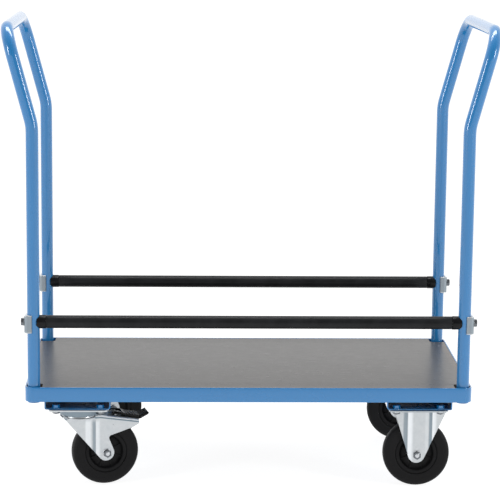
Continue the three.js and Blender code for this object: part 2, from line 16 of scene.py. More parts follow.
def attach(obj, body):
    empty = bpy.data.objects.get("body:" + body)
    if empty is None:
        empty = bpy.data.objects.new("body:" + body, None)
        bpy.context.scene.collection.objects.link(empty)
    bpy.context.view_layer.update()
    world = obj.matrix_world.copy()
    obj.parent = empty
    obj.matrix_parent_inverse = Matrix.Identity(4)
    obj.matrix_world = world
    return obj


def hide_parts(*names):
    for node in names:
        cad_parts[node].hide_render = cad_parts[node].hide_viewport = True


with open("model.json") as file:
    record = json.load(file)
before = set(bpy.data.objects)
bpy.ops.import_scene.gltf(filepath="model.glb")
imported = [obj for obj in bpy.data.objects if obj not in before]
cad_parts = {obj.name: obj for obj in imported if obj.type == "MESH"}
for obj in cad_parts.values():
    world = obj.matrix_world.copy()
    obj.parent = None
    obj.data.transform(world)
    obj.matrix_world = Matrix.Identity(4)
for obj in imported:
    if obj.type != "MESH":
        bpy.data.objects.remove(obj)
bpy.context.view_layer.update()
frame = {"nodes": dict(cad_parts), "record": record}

MM = 0.001
TAU = 2 * math.pi
ROWS = (("front", -1), ("rear", 1))
ENDS = (("left", -1), ("right", 1))

# ---- Sizes of the cart -------------------------------------------------------------------------

DECK_LENGTH = 1058
DECK_WIDTH = 550
RIM_TOP = 252
RIM_BOTTOM = 217
RIM_THICKNESS = 3.5
CORNER_RADIUS = 20
CORNER_LEG = 45
BOARD_TOP = 251.5
BOARD_THICKNESS = 16
BOARD_GAP = 0.3
LEDGE_TOP = 235.2
LEDGE_THICKNESS = 3
LEDGE_WIDTH = 28

UPRIGHT_X = 508
UPRIGHT_Y = 254
TUBE_RADIUS = 15
TUBE_WALL = 2
TUBE_FOOT = 213
LEAN_HEIGHT = 868
LEAN_ANGLE = math.radians(15)
LEAN_RADIUS = 120
CROSSBAR_HEIGHT = 1090
CROSSBAR_RADIUS = 65

BAR_HEIGHT = 406
SLEEVE_RADIUS = 15.25
SLEEVE_WALL = 2.4
SLEEVE_END = 478
CAP_RADIUS = 16
SADDLE_LOW = -25
SADDLE_HIGH = 17.5
SADDLE_EDGE = 2.4
SADDLE_DEPTH = 21
SADDLE_HALF_WIDTH = 17.5

CHANNEL_INSIDE = 76.5
CHANNEL_OUTSIDE = 79.5
CHANNEL_HALF_LENGTH = 263
CHANNEL_THICKNESS = 3
CHANNEL_BEND_INSIDE = 8
CHANNEL_BEND_OUTSIDE = 4.5
CHANNEL_LOW = 195.3
CHANNEL_HIGH = 231.9

CASTOR_X = 404
CASTOR_Y = 213
CASTOR_HEIGHT = 195
TRAIL = 62
SWIVEL_ANGLE = math.radians(13)
PLATE_LENGTH = 140
PLATE_WIDTH = 110
PLATE_THICKNESS = 4
PLATE_BOTTOM = CASTOR_HEIGHT - PLATE_THICKNESS
BOLT_X = 52.5
BOLT_Y = 40
WHEEL_RADIUS = 80
TYRE_HALF = 20
RIM_RADIUS = 50
LEG_OUTSIDE = 27.5
PANEL_OUTSIDE = 31
LEG_THICKNESS = 3
FIXED_LEG_END = 20.2
FIXED_LEG_INSIDE = 55
FIXED_LEG_OUTSIDE = 69
PANEL_MIDDLE = 2
SWIVEL_LEG_END = 19.6
HEAD_RADIUS = 48
HEAD_TOP = 182.5
WEB_START = 46
WEB_HEIGHT = 176
WEB_DROP = 0.165
PEDAL_PIVOT = (84, 171)
PEDAL_HALF_WIDTH = 22


# ---- Outlines and paths ------------------------------------------------------------------------


def arc(centre, radius, start, end, steps):
    """Points on a circle, from one angle to another, both in degrees."""
    points = []
    for k in range(steps + 1):
        angle = math.radians(start + (end - start) * k / steps)
        points.append((centre[0] + radius * math.cos(angle), centre[1] + radius * math.sin(angle)))
    return points


def circle(centre, radius, steps):
    return arc(centre, radius, 0, 360, steps)[:-1]


def rounded(corners, radii, steps=4):
    """A closed outline with its corners rounded. One radius serves all corners, or each has its own."""
    if not isinstance(radii, (list, tuple)):
        radii = [radii] * len(corners)
    points = []
    count = len(corners)
    for i, (corner, radius) in enumerate(zip(corners, radii)):
        here = Vector(corner)
        before = (Vector(corners[i - 1]) - here).normalized()
        after = (Vector(corners[(i + 1) % count]) - here).normalized()
        if radius <= 0:
            points.append(tuple(here))
            continue
        half = before.angle(after) / 2
        reach = radius / math.tan(half)
        centre = here + (before + after).normalized() * radius / math.sin(half)
        first = here + before * reach - centre
        turn = math.pi - 2 * half
        if first.x * (here + after * reach - centre).y - first.y * (here + after * reach - centre).x < 0:
            turn = -turn
        for k in range(steps + 1):
            spin = turn * k / steps
            c, s = math.cos(spin), math.sin(spin)
            points.append((centre.x + first.x * c - first.y * s, centre.y + first.x * s + first.y * c))
    return points


def route(corners, radii, steps):
    """Stations and headings of a line through the corners in space, each inner corner rounded."""
    corners = [Vector(c) for c in corners]
    stations = [corners[0]]
    headings = [(corners[1] - corners[0]).normalized()]
    for before, corner, after, radius, count in zip(corners, corners[1:], corners[2:], radii, steps):
        arriving = (corner - before).normalized()
        leaving = (after - corner).normalized()
        turn = arriving.angle(leaving)
        start = corner - arriving * radius * math.tan(turn / 2)
        axis = arriving.cross(leaving).normalized()
        centre = start + axis.cross(arriving) * radius
        for k in range(count + 1):
            spin = Matrix.Rotation(turn * k / count, 3, axis)
            stations.append(spin @ (start - centre) + centre)
            headings.append(spin @ arriving)
    stations.append(corners[-1])
    headings.append(headings[-1].copy())
    return stations, headings


def tangent_angle(x, y, radius):
    """The angle where a line from (x, y) touches a circle about the origin, on its +X side."""
    return math.degrees(math.atan2(y, x) - math.acos(radius / math.hypot(x, y)))


# ---- Meshes ------------------------------------------------------------------------------------


def bridge(bm, rings, close_rings=True, close_ends=False):
    """Quads between successive rings of vertices."""
    pairs = list(zip(rings, rings[1:]))
    if close_ends:
        pairs.append((rings[-1], rings[0]))
    for first, second in pairs:
        count = len(first)
        for i in range(count if close_rings else count - 1):
            j = (i + 1) % count
            bm.faces.new((first[i], first[j], second[j], second[i]))


def lathe(bm, profile, steps=64, axis="Z", centre=(0, 0, 0)):
    """A closed profile of (radius, place along the axis), turned about the axis. Profile points on the
    axis become one vertex each."""
    cx, cy, cz = centre
    rings = []
    for radius, along in profile:
        ring = []
        for k in range(steps):
            a = TAU * k / steps
            p, q = radius * math.cos(a), radius * math.sin(a)
            x, y, z = {"Z": (p, q, along), "Y": (q, along, p), "X": (along, p, q)}[axis]
            ring.append(bm.verts.new((x + cx, y + cy, z + cz)))
        rings.append(ring)
    bridge(bm, rings, close_ends=True)


def turned(bm, profile, steps=64, axis="Z", centre=(0, 0, 0)):
    """As lathe, for a profile whose first and last points lie on the axis."""
    lathe(bm, profile, steps, axis, centre)
    bmesh.ops.remove_doubles(bm, verts=bm.verts, dist=1e-4)


def plate(bm, outline, low, high, place=lambda a, b, c: (a, b, c), holes=()):
    """An outline, with holes, given its thickness from low to high."""
    loops = [list(outline), *[list(h) for h in holes]]
    flat = [p for loop in loops for p in loop]
    triangles = tessellate_polygon([[Vector((*p, 0)) for p in loop] for loop in loops])
    floors = [[bm.verts.new(place(*p, level)) for p in flat] for level in (low, high)]
    for triangle in triangles:
        for level in floors:
            bm.faces.new([level[i] for i in triangle])
    start = 0
    for loop in loops:
        count = len(loop)
        for i in range(count):
            a, b = start + i, start + (i + 1) % count
            bm.faces.new((floors[0][a], floors[0][b], floors[1][b], floors[1][a]))
        start += count


def side_on(a, b, c):
    """Outlines drawn in X and Z take their thickness along Y."""
    return (a, c, b)


def tube(bm, stations, headings, outer, inner, sides=40):
    """A hollow tube along a route, with open ends."""
    side = headings[0].orthogonal().normalized()
    rings = {outer: [], inner: []}
    last = headings[0]
    for point, heading in zip(stations, headings):
        side = last.rotation_difference(heading) @ side
        last = heading
        up = heading.cross(side)
        for radius, kept in rings.items():
            ring = []
            for k in range(sides):
                a = TAU * k / sides
                ring.append(bm.verts.new(point + (side * math.cos(a) + up * math.sin(a)) * radius))
            kept.append(ring)
    bridge(bm, rings[outer] + rings[inner][::-1], close_ends=True)


def painted_light_mesh():
    """A mesh whose vertices carry painted light, from -1 for painted shade to 1 for a painted highlight, that the
    zinc looks read.
    """
    bm = bmesh.new()
    bm.verts.layers.float.new("painted_light")
    return bm


def set_painted_light(bm, value):
    """Sets the painted light of the vertices added since the last call: below 0 painted shade, above 0 a painted
    highlight.
    """
    layer = bm.verts.layers.float["painted_light"]
    for vert in bm.verts:
        if vert.index < 0:
            vert[layer] = value
    bm.verts.index_update()


def along_table(value, table):
    """The level at a value, from a list of (value, level) joined by straight lines."""
    if value <= table[0][0]:
        return table[0][1]
    for (low, first), (high, second) in zip(table, table[1:]):
        if value <= high:
            return first + (second - first) * (value - low) / (high - low)
    return table[-1][1]


def sheet(bm, outline, cuts, fold, painted_light):
    """A flat pattern, divided along lines where it bends, then given its painted shade and highlights and folded
    into place.
    """
    bm.faces.new([bm.verts.new((a, b, 0)) for a, b in outline])
    for through, across in cuts:
        bmesh.ops.bisect_plane(
            bm, geom=bm.verts[:] + bm.edges[:] + bm.faces[:], dist=1e-4,
            plane_co=(*through, 0), plane_no=(*across, 0),
        )
    layer = bm.verts.layers.float["painted_light"]
    for vert in bm.verts:
        vert[layer] = painted_light(vert.co.x, vert.co.y)
        vert.co = fold(vert.co.x, vert.co.y)


def mirrored_y(bm):
    """Adds the mirror image across Y and joins the two along the middle."""
    made = bmesh.ops.duplicate(bm, geom=bm.verts[:] + bm.edges[:] + bm.faces[:])["geom"]
    fresh = [g for g in made if isinstance(g, bmesh.types.BMVert)]
    for vert in fresh:
        vert.co.y = -vert.co.y
    bmesh.ops.reverse_faces(bm, faces=[g for g in made if isinstance(g, bmesh.types.BMFace)])
    bmesh.ops.remove_doubles(bm, verts=bm.verts, dist=1e-3)


def hexagon(bm, flats, base, height, axis="Z", centre=(0, 0, 0), bore=0, both=False):
    """A hexagon head or nut, its corners chamfered at the top, or at both faces. Height may be
    negative, for a head that points the other way."""
    apothem = flats / 2
    rim = apothem * 0.95
    steps = 72
    way = math.copysign(1, height)
    tall = abs(height)

    def radius_at(k):
        turn = (TAU * k / steps) % (math.pi / 3) - math.pi / 6
        return apothem / math.cos(turn)

    def ring(radius, along):
        verts = []
        for k in range(steps):
            a = TAU * k / steps
            r = radius_at(k) if radius is None else radius
            z = along(r) if callable(along) else along
            p, q = r * math.cos(a), r * math.sin(a)
            z = base + way * z
            x, y, z = {"Z": (p, q, z), "Y": (q, z, p), "X": (z, p, q)}[axis]
            verts.append(bm.verts.new((x + centre[0], y + centre[1], z + centre[2])))
        return verts

    slope = math.tan(math.radians(30))
    rings = [ring(bore or 0.05, 0)]
    if both:
        rings += [ring(rim, 0), ring(None, lambda r: (r - rim) * slope)]
    else:
        rings += [ring(None, 0)]
    rings += [ring(None, lambda r: tall - (r - rim) * slope), ring(rim, tall), ring(bore or 0.05, tall)]
    bridge(bm, rings, close_ends=True)


def thread_end(bm, radius, start, end, axis="Z", centre=(0, 0, 0), pitch=1.5):
    """The end of a screw: shallow rounded threads and a chamfered tip."""
    way = math.copysign(1, end - start)
    length = abs(end - start)
    turns = max(1, int((length - pitch) / pitch))
    profile = [(0, start), (radius * 0.86, start)]
    for k in range(turns):
        profile += [
            (radius * 0.86, start + way * (k + 0.15) * pitch),
            (radius, start + way * (k + 0.5) * pitch),
            (radius * 0.86, start + way * (k + 0.85) * pitch),
        ]
    profile += [(radius * 0.92, end - way * pitch * 0.6), (radius * 0.72, end), (0, end)]
    lathe(bm, profile, 24, axis, centre)


def piece(name, bm, look, body, replaces=(), bevel=0, segments=2, thickness=0, sharp=35, matrix=None):
    """Turns a mesh in millimetres into a finished piece that rides on a body."""
    bmesh.ops.remove_doubles(bm, verts=bm.verts, dist=1e-4)
    loose = [edge for edge in bm.edges if not edge.link_faces]
    bmesh.ops.delete(bm, geom=loose, context="EDGES")
    if not thickness:
        bmesh.ops.recalc_face_normals(bm, faces=bm.faces)
    bmesh.ops.scale(bm, vec=(MM, MM, MM), verts=bm.verts)
    for face in bm.faces:
        face.smooth = True
    if not bevel:
        for edge in bm.edges:
            if edge.is_manifold and edge.calc_face_angle(0) > math.radians(sharp):
                edge.smooth = False
    mesh = bpy.data.meshes.new(name)
    bm.to_mesh(mesh)
    bm.free()
    obj = bpy.data.objects.new(name, mesh)
    bpy.context.scene.collection.objects.link(obj)
    obj.data.materials.append(looks[look])
    if matrix is not None:
        obj.matrix_world = matrix
    if thickness:
        solid = obj.modifiers.new("Thickness", "SOLIDIFY")
        solid.thickness = thickness * MM
        solid.offset = -1
        solid.use_even_offset = True
    if bevel:
        soft = obj.modifiers.new("Edges", "BEVEL")
        soft.width = bevel * MM
        soft.segments = segments
        soft.limit_method = "ANGLE"
        soft.angle_limit = math.radians(sharp)
        soft.use_clamp_overlap = False
        soft.harden_normals = True
    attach(obj, body)
    if replaces:
        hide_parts(*replaces)
    return obj


def at(x, y, z, turn=0):
    """A place in the row frame, in millimetres, turned about Z by an angle in radians."""
    return Matrix.Translation(Vector((x, y, z)) * MM) @ Matrix.Rotation(turn, 4, "Z")


# ---- Materials ---------------------------------------------------------------------------------


class Look:
    """A Principled material under construction, with its textures in the piece's own coordinates."""

    def __init__(self, name, **constants):
        self.material = bpy.data.materials.new(name)
        self.material.use_nodes = True
        self.tree = self.material.node_tree
        self.shader = self.tree.nodes["Principled BSDF"]
        for socket, value in constants.items():
            self.shader.inputs[socket.replace("_", " ")].default_value = value
        self.place = self.tree.nodes.new("ShaderNodeTexCoord").outputs["Object"]

    def node(self, kind, inputs=(), **settings):
        made = self.tree.nodes.new(kind)
        for key, value in settings.items():
            setattr(made, key, value)
        for key, value in dict(inputs).items():
            if isinstance(value, bpy.types.NodeSocket):
                self.tree.links.new(value, made.inputs[key])
            else:
                made.inputs[key].default_value = value
        return made

    def math(self, operation, first, second=0.0, third=0.0):
        inputs = {0: first, 1: second, 2: third}
        return self.node("ShaderNodeMath", inputs, operation=operation).outputs[0]

    def stretched(self, scale):
        return self.node("ShaderNodeMapping", {"Vector": self.place, "Scale": scale}).outputs[0]

    def noise(self, scale, detail=2.0, roughness=0.5, vector=None):
        inputs = {"Vector": vector or self.place, "Scale": scale, "Detail": detail, "Roughness": roughness}
        return self.node("ShaderNodeTexNoise", inputs).outputs[0]

    def cells(self, scale, output="Distance", vector=None):
        inputs = {"Vector": vector or self.place, "Scale": scale}
        return self.node("ShaderNodeTexVoronoi", inputs).outputs[output]

    def spread(self, value, low, high, start=0.3, end=0.7):
        """A texture value from start to end, spread over low to high."""
        inputs = {0: value, 1: start, 2: end, 3: low, 4: high}
        return self.node("ShaderNodeMapRange", inputs).outputs[0]

    def blend(self, share, first, second):
        inputs = {0: share, 6: first, 7: second}
        return self.node("ShaderNodeMix", inputs, data_type="RGBA").outputs[2]

    def color(self, value):
        self.tree.links.new(value, self.shader.inputs["Base Color"])

    def roughness(self, value):
        self.tree.links.new(value, self.shader.inputs["Roughness"])

    def bump(self, *layers):
        """Height textures, each with its strength and its depth in millimetres."""
        normal = None
        for height, strength, depth in layers:
            inputs = {"Height": height, "Strength": strength, "Distance": depth * MM}
            if normal is not None:
                inputs["Normal"] = normal
            normal = self.node("ShaderNodeBump", inputs).outputs[0]
        self.tree.links.new(normal, self.shader.inputs["Normal"])
        return self.material


    def painted_light_colour(self, base, painted_shade, painted_highlight):
        """A colour with painted light: the base blends towards a painted shade colour where the mesh's attribute is
        below 0, and towards a painted highlight colour where it is above 0.
        """
        painted_light = self.node("ShaderNodeAttribute", attribute_name="painted_light").outputs["Fac"]
        shade = self.blend(self.spread(painted_light, 0, 1, 0, -1), base, painted_shade)
        return self.blend(self.spread(painted_light, 0, 1, 0, 1), shade, painted_highlight)


def rgb(red, green, blue):
    return (red, green, blue, 1)


def blue_paint():
    look = Look("blue_paint", IOR=1.46, Coat_Weight=1.0, Coat_Roughness=0.03)
    cloud = look.noise(4, 2)
    grain = look.noise(1500, 2)
    base = look.blend(look.spread(cloud, 0, 1), rgb(0.004, 0.16, 0.41), rgb(0.006, 0.168, 0.425))
    look.color(look.blend(look.spread(grain, 0, 0.2), base, rgb(0.013, 0.187, 0.45)))
    look.roughness(look.spread(look.noise(14, 2), 0.24, 0.28))
    peel = look.noise(420, 1.5)
    return look.bump((peel, 0.06, 0.05), (grain, 0.05, 0.02))


def deck_laminate():
    look = Look("deck_laminate", Specular_IOR_Level=0.36)
    split = look.node("ShaderNodeSeparateXYZ", {"Vector": look.place})
    x, y, z = split.outputs[0], split.outputs[1], split.outputs[2]
    grain = look.noise(30, 4, 0.6, look.stretched((1, 14, 1)))
    fleck = look.noise(700, 3)
    film = look.blend(look.spread(grain, 0, 1), rgb(0.058, 0.055, 0.054), rgb(0.074, 0.070, 0.068))
    film = look.blend(look.spread(fleck, 0, 0.5, 0.45, 0.75), film, rgb(0.095, 0.09, 0.087))
    to_end = look.math("SUBTRACT", DECK_LENGTH / 2 * MM, look.math("ABSOLUTE", x))
    to_side = look.math("SUBTRACT", DECK_WIDTH / 2 * MM, look.math("ABSOLUTE", y))
    to_edge = look.math("MINIMUM", to_end, to_side)
    film = look.blend(look.spread(to_edge, 0.6, 0, 0.006, 0.022), film, rgb(0.115, 0.085, 0.066))
    phase = look.math("MULTIPLY", z, TAU / 0.0028)
    ply = look.node("ShaderNodeMath", {0: phase}, operation="SINE").outputs[0]
    wood = look.blend(look.spread(ply, 0, 1, -0.4, 0.4), rgb(0.32, 0.19, 0.1), rgb(0.17, 0.09, 0.05))
    wood = look.blend(look.spread(look.noise(260, 4), 0, 0.6), wood, rgb(0.24, 0.15, 0.09))
    side = look.spread(z, 1, 0, (BOARD_TOP - 1.6) * MM, (BOARD_TOP - 0.9) * MM)
    board_low = BOARD_TOP - BOARD_THICKNESS
    low = look.spread(z, 1, 0, (board_low + 0.9) * MM, (board_low + 1.6) * MM)
    look.color(look.blend(look.math("SUBTRACT", side, low), film, wood))
    look.roughness(look.spread(look.noise(45, 3, 0.5, look.stretched((1, 6, 1))), 0.27, 0.34))
    dimple = look.cells(380)
    return look.bump((dimple, 0.05, 0.05), (fleck, 0.05, 0.02))


def plain_black(name, base, rough, scale, strength, level=0.5, coat=0.0):
    """A black plastic or rubber with a fine grain and faint cloudy dust."""
    look = Look(name, Specular_IOR_Level=level, Coat_Weight=coat, Coat_Roughness=0.12)
    grain = look.noise(scale, 2)
    dust = look.noise(28, 4, 0.6)
    tint = tuple(c * 1.7 + 0.002 for c in base)
    look.color(look.blend(look.spread(dust, 0, 0.8, 0.4, 0.75), rgb(*base), rgb(*tint)))
    look.roughness(look.spread(dust, rough - 0.04, rough + 0.06))
    return look.bump((grain, strength, 0.06))


def tyre_rubber():
    look = Look("tyre_rubber", Specular_IOR_Level=0.14)
    split = look.node("ShaderNodeSeparateXYZ", {"Vector": look.place})
    flat = look.node("ShaderNodeCombineXYZ", {0: split.outputs[0], 2: split.outputs[2]}).outputs[0]
    radius = look.node("ShaderNodeVectorMath", {0: flat}, operation="LENGTH").outputs["Value"]
    dust = look.noise(34, 4, 0.6)
    shade = look.blend(look.spread(dust, 0, 1), rgb(0.006, 0.006, 0.0066), rgb(0.0085, 0.0083, 0.0088))
    tread = look.spread(radius, 0, 0.5, (WHEEL_RADIUS - 2.5) * MM, WHEEL_RADIUS * MM)
    look.color(look.blend(tread, shade, rgb(0.012, 0.0118, 0.012)))
    look.roughness(look.spread(dust, 0.5, 0.66))
    rings = look.math("SINE", look.math("MULTIPLY", radius, TAU / 0.0021))
    return look.bump((rings, 0.06, 0.05), (look.noise(1400, 2), 0.12, 0.05))


def zinc():
    look = Look("zinc", Metallic=1.0)
    spangle = look.cells(190, "Color")
    patch = look.node("ShaderNodeSeparateColor", {0: spangle}).outputs[0]
    cloud = look.noise(38, 4, 0.55)
    base = look.blend(look.spread(cloud, 0, 1), rgb(0.5, 0.53, 0.55), rgb(0.58, 0.6, 0.615))
    base = look.blend(look.spread(patch, 0, 0.22, 0, 1), base, rgb(0.46, 0.49, 0.52))
    # painted light: the zinc blends to a painted shade colour and a painted highlight colour by the mesh's attribute
    look.color(look.painted_light_colour(base, rgb(0.17, 0.22, 0.26), rgb(0.84, 0.87, 0.9)))
    look.roughness(look.spread(look.math("ADD", look.math("MULTIPLY", patch, 0.3), cloud), 0.3, 0.44, 0.4, 1))
    return look.bump((cloud, 0.1, 0.12), (look.noise(900, 2), 0.08, 0.02))


def fastener_steel():
    look = Look("fastener_steel", Metallic=1.0)
    cloud = look.noise(120, 3)
    base = look.blend(look.spread(cloud, 0, 1), rgb(0.46, 0.48, 0.51), rgb(0.62, 0.64, 0.66))
    # painted light: the steel blends to a painted shade colour and a painted highlight colour by the mesh's
    # attribute
    look.color(look.painted_light_colour(base, rgb(0.07, 0.08, 0.09), rgb(0.88, 0.9, 0.92)))
    look.roughness(look.spread(look.noise(300, 2), 0.2, 0.34))
    return look.bump((look.noise(1100, 2), 0.1, 0.02),)


looks = {
    "blue_paint": blue_paint(),
    "deck_laminate": deck_laminate(),
    "bar_sleeve": plain_black("bar_sleeve", (0.0085, 0.009, 0.01), 0.36, 900, 0.08, 0.15),
    "black_plastic": plain_black("black_plastic", (0.004, 0.004, 0.0047), 0.25, 1100, 0.05, 0.16),
    "rim_plastic": plain_black("rim_plastic", (0.004, 0.004, 0.0045), 0.5, 1000, 0.1, 0.15),
    "tyre_rubber": tyre_rubber(),
    "zinc": zinc(),
    "fastener_steel": fastener_steel(),
}

for node in frame["record"]["subparts"]:
    kept = frame["nodes"][node["node"]].data.materials
    kept.clear()
    kept.append(looks[node["material_slot"]])


# ---- Deck and rim ------------------------------------------------------------------------------


def make_board():
    bm = bmesh.new()
    x = DECK_LENGTH / 2 - RIM_THICKNESS - BOARD_GAP
    y = DECK_WIDTH / 2 - RIM_THICKNESS - BOARD_GAP
    in_x, in_y = UPRIGHT_X - 20, UPRIGHT_Y - 20
    corners = [
        (-in_x, -y), (in_x, -y), (in_x, -in_y), (x, -in_y), (x, in_y), (in_x, in_y),
        (in_x, y), (-in_x, y), (-in_x, in_y), (-x, in_y), (-x, -in_y), (-in_x, -in_y),
    ]
    radii = [1.5, 1.5, 6, 1.5, 1.5, 6] * 2
    plate(bm, rounded(corners, radii, 5), BOARD_TOP - BOARD_THICKNESS, BOARD_TOP)
    piece("board", bm, "deck_laminate", "cart", ["deck_board"], bevel=0.7, segments=3)


def make_rim():
    """The rim: one wall round the deck with rounded corners, a ledge inside each rail, and a plate
    with a tube hole in each corner."""
    bm = bmesh.new()
    hx, hy = DECK_LENGTH / 2, DECK_WIDTH / 2
    corners = [(-hx, -hy), (hx, -hy), (hx, hy), (-hx, hy)]
    edge = 0.9
    section = [(0, RIM_BOTTOM), (RIM_THICKNESS, RIM_BOTTOM), (RIM_THICKNESS, RIM_TOP), (0, RIM_TOP)]
    wall = rounded(section, edge, 3)
    rings = []
    for inset, z in wall:
        around = rounded(
            [(cx - math.copysign(inset, cx), cy - math.copysign(inset, cy)) for cx, cy in corners],
            CORNER_RADIUS - inset, 14,
        )
        rings.append([bm.verts.new((px, py, z)) for px, py in around])
    bridge(bm, rings, close_ends=True)
    in_x, in_y = hx - RIM_THICKNESS, hy - RIM_THICKNESS
    stop_x, stop_y = hx - CORNER_LEG, hy - CORNER_LEG
    low = LEDGE_TOP - LEDGE_THICKNESS
    for side in (-1, 1):
        across = sorted((side * (in_y + 0.5), side * (in_y - LEDGE_WIDTH)))
        ledge = [(-stop_x, across[0]), (stop_x, across[0]), (stop_x, across[1]), (-stop_x, across[1])]
        plate(bm, ledge, low, LEDGE_TOP)
        along = sorted((side * (in_x + 0.5), side * (in_x - LEDGE_WIDTH)))
        ledge = [(along[0], -stop_y), (along[1], -stop_y), (along[1], stop_y), (along[0], stop_y)]
        plate(bm, ledge, low, LEDGE_TOP)
    for sx in (-1, 1):
        for sy in (-1, 1):
            ax, ay = sx * (in_x + 0.5), sy * (in_y + 0.5)
            bx, by = sx * (stop_x - 0.5), sy * (stop_y - 0.5)
            radii = [CORNER_RADIUS - RIM_THICKNESS, 0, 5, 0]
            outline = rounded([(ax, ay), (bx, ay), (bx, by), (ax, by)], radii, 6)
            hole = circle((sx * UPRIGHT_X, sy * UPRIGHT_Y), TUBE_RADIUS + 0.6, 40)
            plate(bm, outline, low, LEDGE_TOP, holes=[hole])
    nodes = [f"rim_rail_{side}" for side in ("front", "right", "rear", "left")]
    nodes += [f"rim_corner_{row}_{end}" for row, _ in ROWS for end, _ in ENDS]
    piece("deck_rim", bm, "blue_paint", "cart", nodes, sharp=50)


def weld_bead(bm, start, end, radius):
    """A rippled bead of weld metal from one point to another."""
    start, end = Vector(start), Vector(end)
    along = (end - start).normalized()
    length = (end - start).length
    side = along.orthogonal().normalized()
    up = along.cross(side)
    count = int(length / 0.8)
    rings = []
    for k in range(count + 1):
        t = k / count
        ends = math.sqrt(max(0.02, 1 - (2 * t - 1) ** 8))
        size = radius * ends * (1 + 0.13 * math.sin(t * length * 2.1) + 0.05 * math.sin(t * length * 0.7))
        centre = start + along * length * t
        ring = []
        for j in range(10):
            a = TAU * j / 10
            ring.append(bm.verts.new(centre + (side * math.cos(a) + up * math.sin(a)) * size))
        rings.append(ring)
    bridge(bm, rings)
    bm.faces.new(rings[0][::-1])
    bm.faces.new(rings[-1])


def make_channels():
    """The two U shaped cross channels, with weld beads where their flanges meet the ledges."""
    inside, outside, thick = CHANNEL_INSIDE, CHANNEL_OUTSIDE, CHANNEL_THICKNESS
    low, high = CHANNEL_LOW, CHANNEL_HIGH
    soft, crisp = CHANNEL_BEND_INSIDE, CHANNEL_BEND_OUTSIDE
    section = [(-inside, high)]
    section += arc((-inside + soft, low + soft), soft, 180, 270, 8)
    section += arc((outside - crisp, low + crisp), crisp, 270, 360, 8)
    section += [(outside, high), (outside - thick, high)]
    section += arc((outside - crisp, low + crisp), crisp - thick, 0, -90, 8)
    section += arc((-inside + soft, low + soft), soft - thick, 270, 180, 8)
    section += [(thick - inside, high)]
    for end, sx in ENDS:
        place = at(sx * CASTOR_X, 0, 0, 0 if sx > 0 else math.pi)
        bm = bmesh.new()
        plate(bm, section, -CHANNEL_HALF_LENGTH, CHANNEL_HALF_LENGTH, side_on)
        piece(f"channel_{end}", bm, "blue_paint", "cart", [f"cross_channel_{end}"], bevel=0.7, sharp=40,
              matrix=place)
        bm = bmesh.new()
        for x in (-inside - 0.8, outside + 0.8):
            for row in (-1, 1):
                weld_bead(bm, (x, row * 246, high - 0.6), (x, row * 258, high - 0.6), 1.9)
                weld_bead(bm, (x, row * 228, high - 0.6), (x, row * 240, high - 0.6), 1.9)
        piece(f"channel_welds_{end}", bm, "blue_paint", "cart", sharp=60, matrix=place)


# ---- Handles and side bars ---------------------------------------------------------------------


def make_handles():
    lean = (CROSSBAR_HEIGHT - LEAN_HEIGHT) * math.tan(LEAN_ANGLE)
    for end, sx in ENDS:
        x = sx * UPRIGHT_X
        top = x + sx * lean
        corners = [
            (x, -UPRIGHT_Y, TUBE_FOOT), (x, -UPRIGHT_Y, LEAN_HEIGHT), (top, -UPRIGHT_Y, CROSSBAR_HEIGHT),
            (top, UPRIGHT_Y, CROSSBAR_HEIGHT), (x, UPRIGHT_Y, LEAN_HEIGHT), (x, UPRIGHT_Y, TUBE_FOOT),
        ]
        radii = [LEAN_RADIUS, CROSSBAR_RADIUS, CROSSBAR_RADIUS, LEAN_RADIUS]
        stations, headings = route(corners, radii, [10, 24, 24, 10])
        bm = bmesh.new()
        tube(bm, stations, headings, TUBE_RADIUS, TUBE_RADIUS - TUBE_WALL, 48)
        piece(f"handle_{end}", bm, "blue_paint", "cart", [f"push_handle_{end}"], sharp=60)


def make_side_bars():
    """Each side bar: an extruded sleeve, end caps cut to sit on the tubes, saddles and bolts."""
    for row, sy in ROWS:
        y = sy * UPRIGHT_Y
        bm = bmesh.new()
        r, wall, end = SLEEVE_RADIUS, SLEEVE_WALL, SLEEVE_END
        seam = end - 48
        ring = [
            (r - wall, -end + 0.3), (r - 0.9, -end + 0.3), (r - 0.3, -end + 0.6), (r, -end + 1.3),
            (r, -seam - 0.5), (r - 0.28, -seam - 0.15), (r - 0.28, -seam + 0.15), (r, -seam + 0.5),
            (r, seam - 0.5), (r - 0.28, seam - 0.15), (r - 0.28, seam + 0.15), (r, seam + 0.5),
            (r, end - 1.3), (r - 0.3, end - 0.6), (r - 0.9, end - 0.3), (r - wall, end - 0.3),
        ]
        lathe(bm, ring, 56, "X")
        piece(f"sleeve_{row}", bm, "bar_sleeve", "cart", [f"side_bar_sleeve_{row}"], matrix=at(0, y, BAR_HEIGHT))
        for name, sx in ENDS:
            turn = 0 if sx > 0 else math.pi
            place = at(sx * UPRIGHT_X, y, BAR_HEIGHT, turn)
            make_cap(f"{row}_{name}", place)
            make_saddle(f"{row}_{name}", place)
            make_bar_bolt(f"{row}_{name}", place)


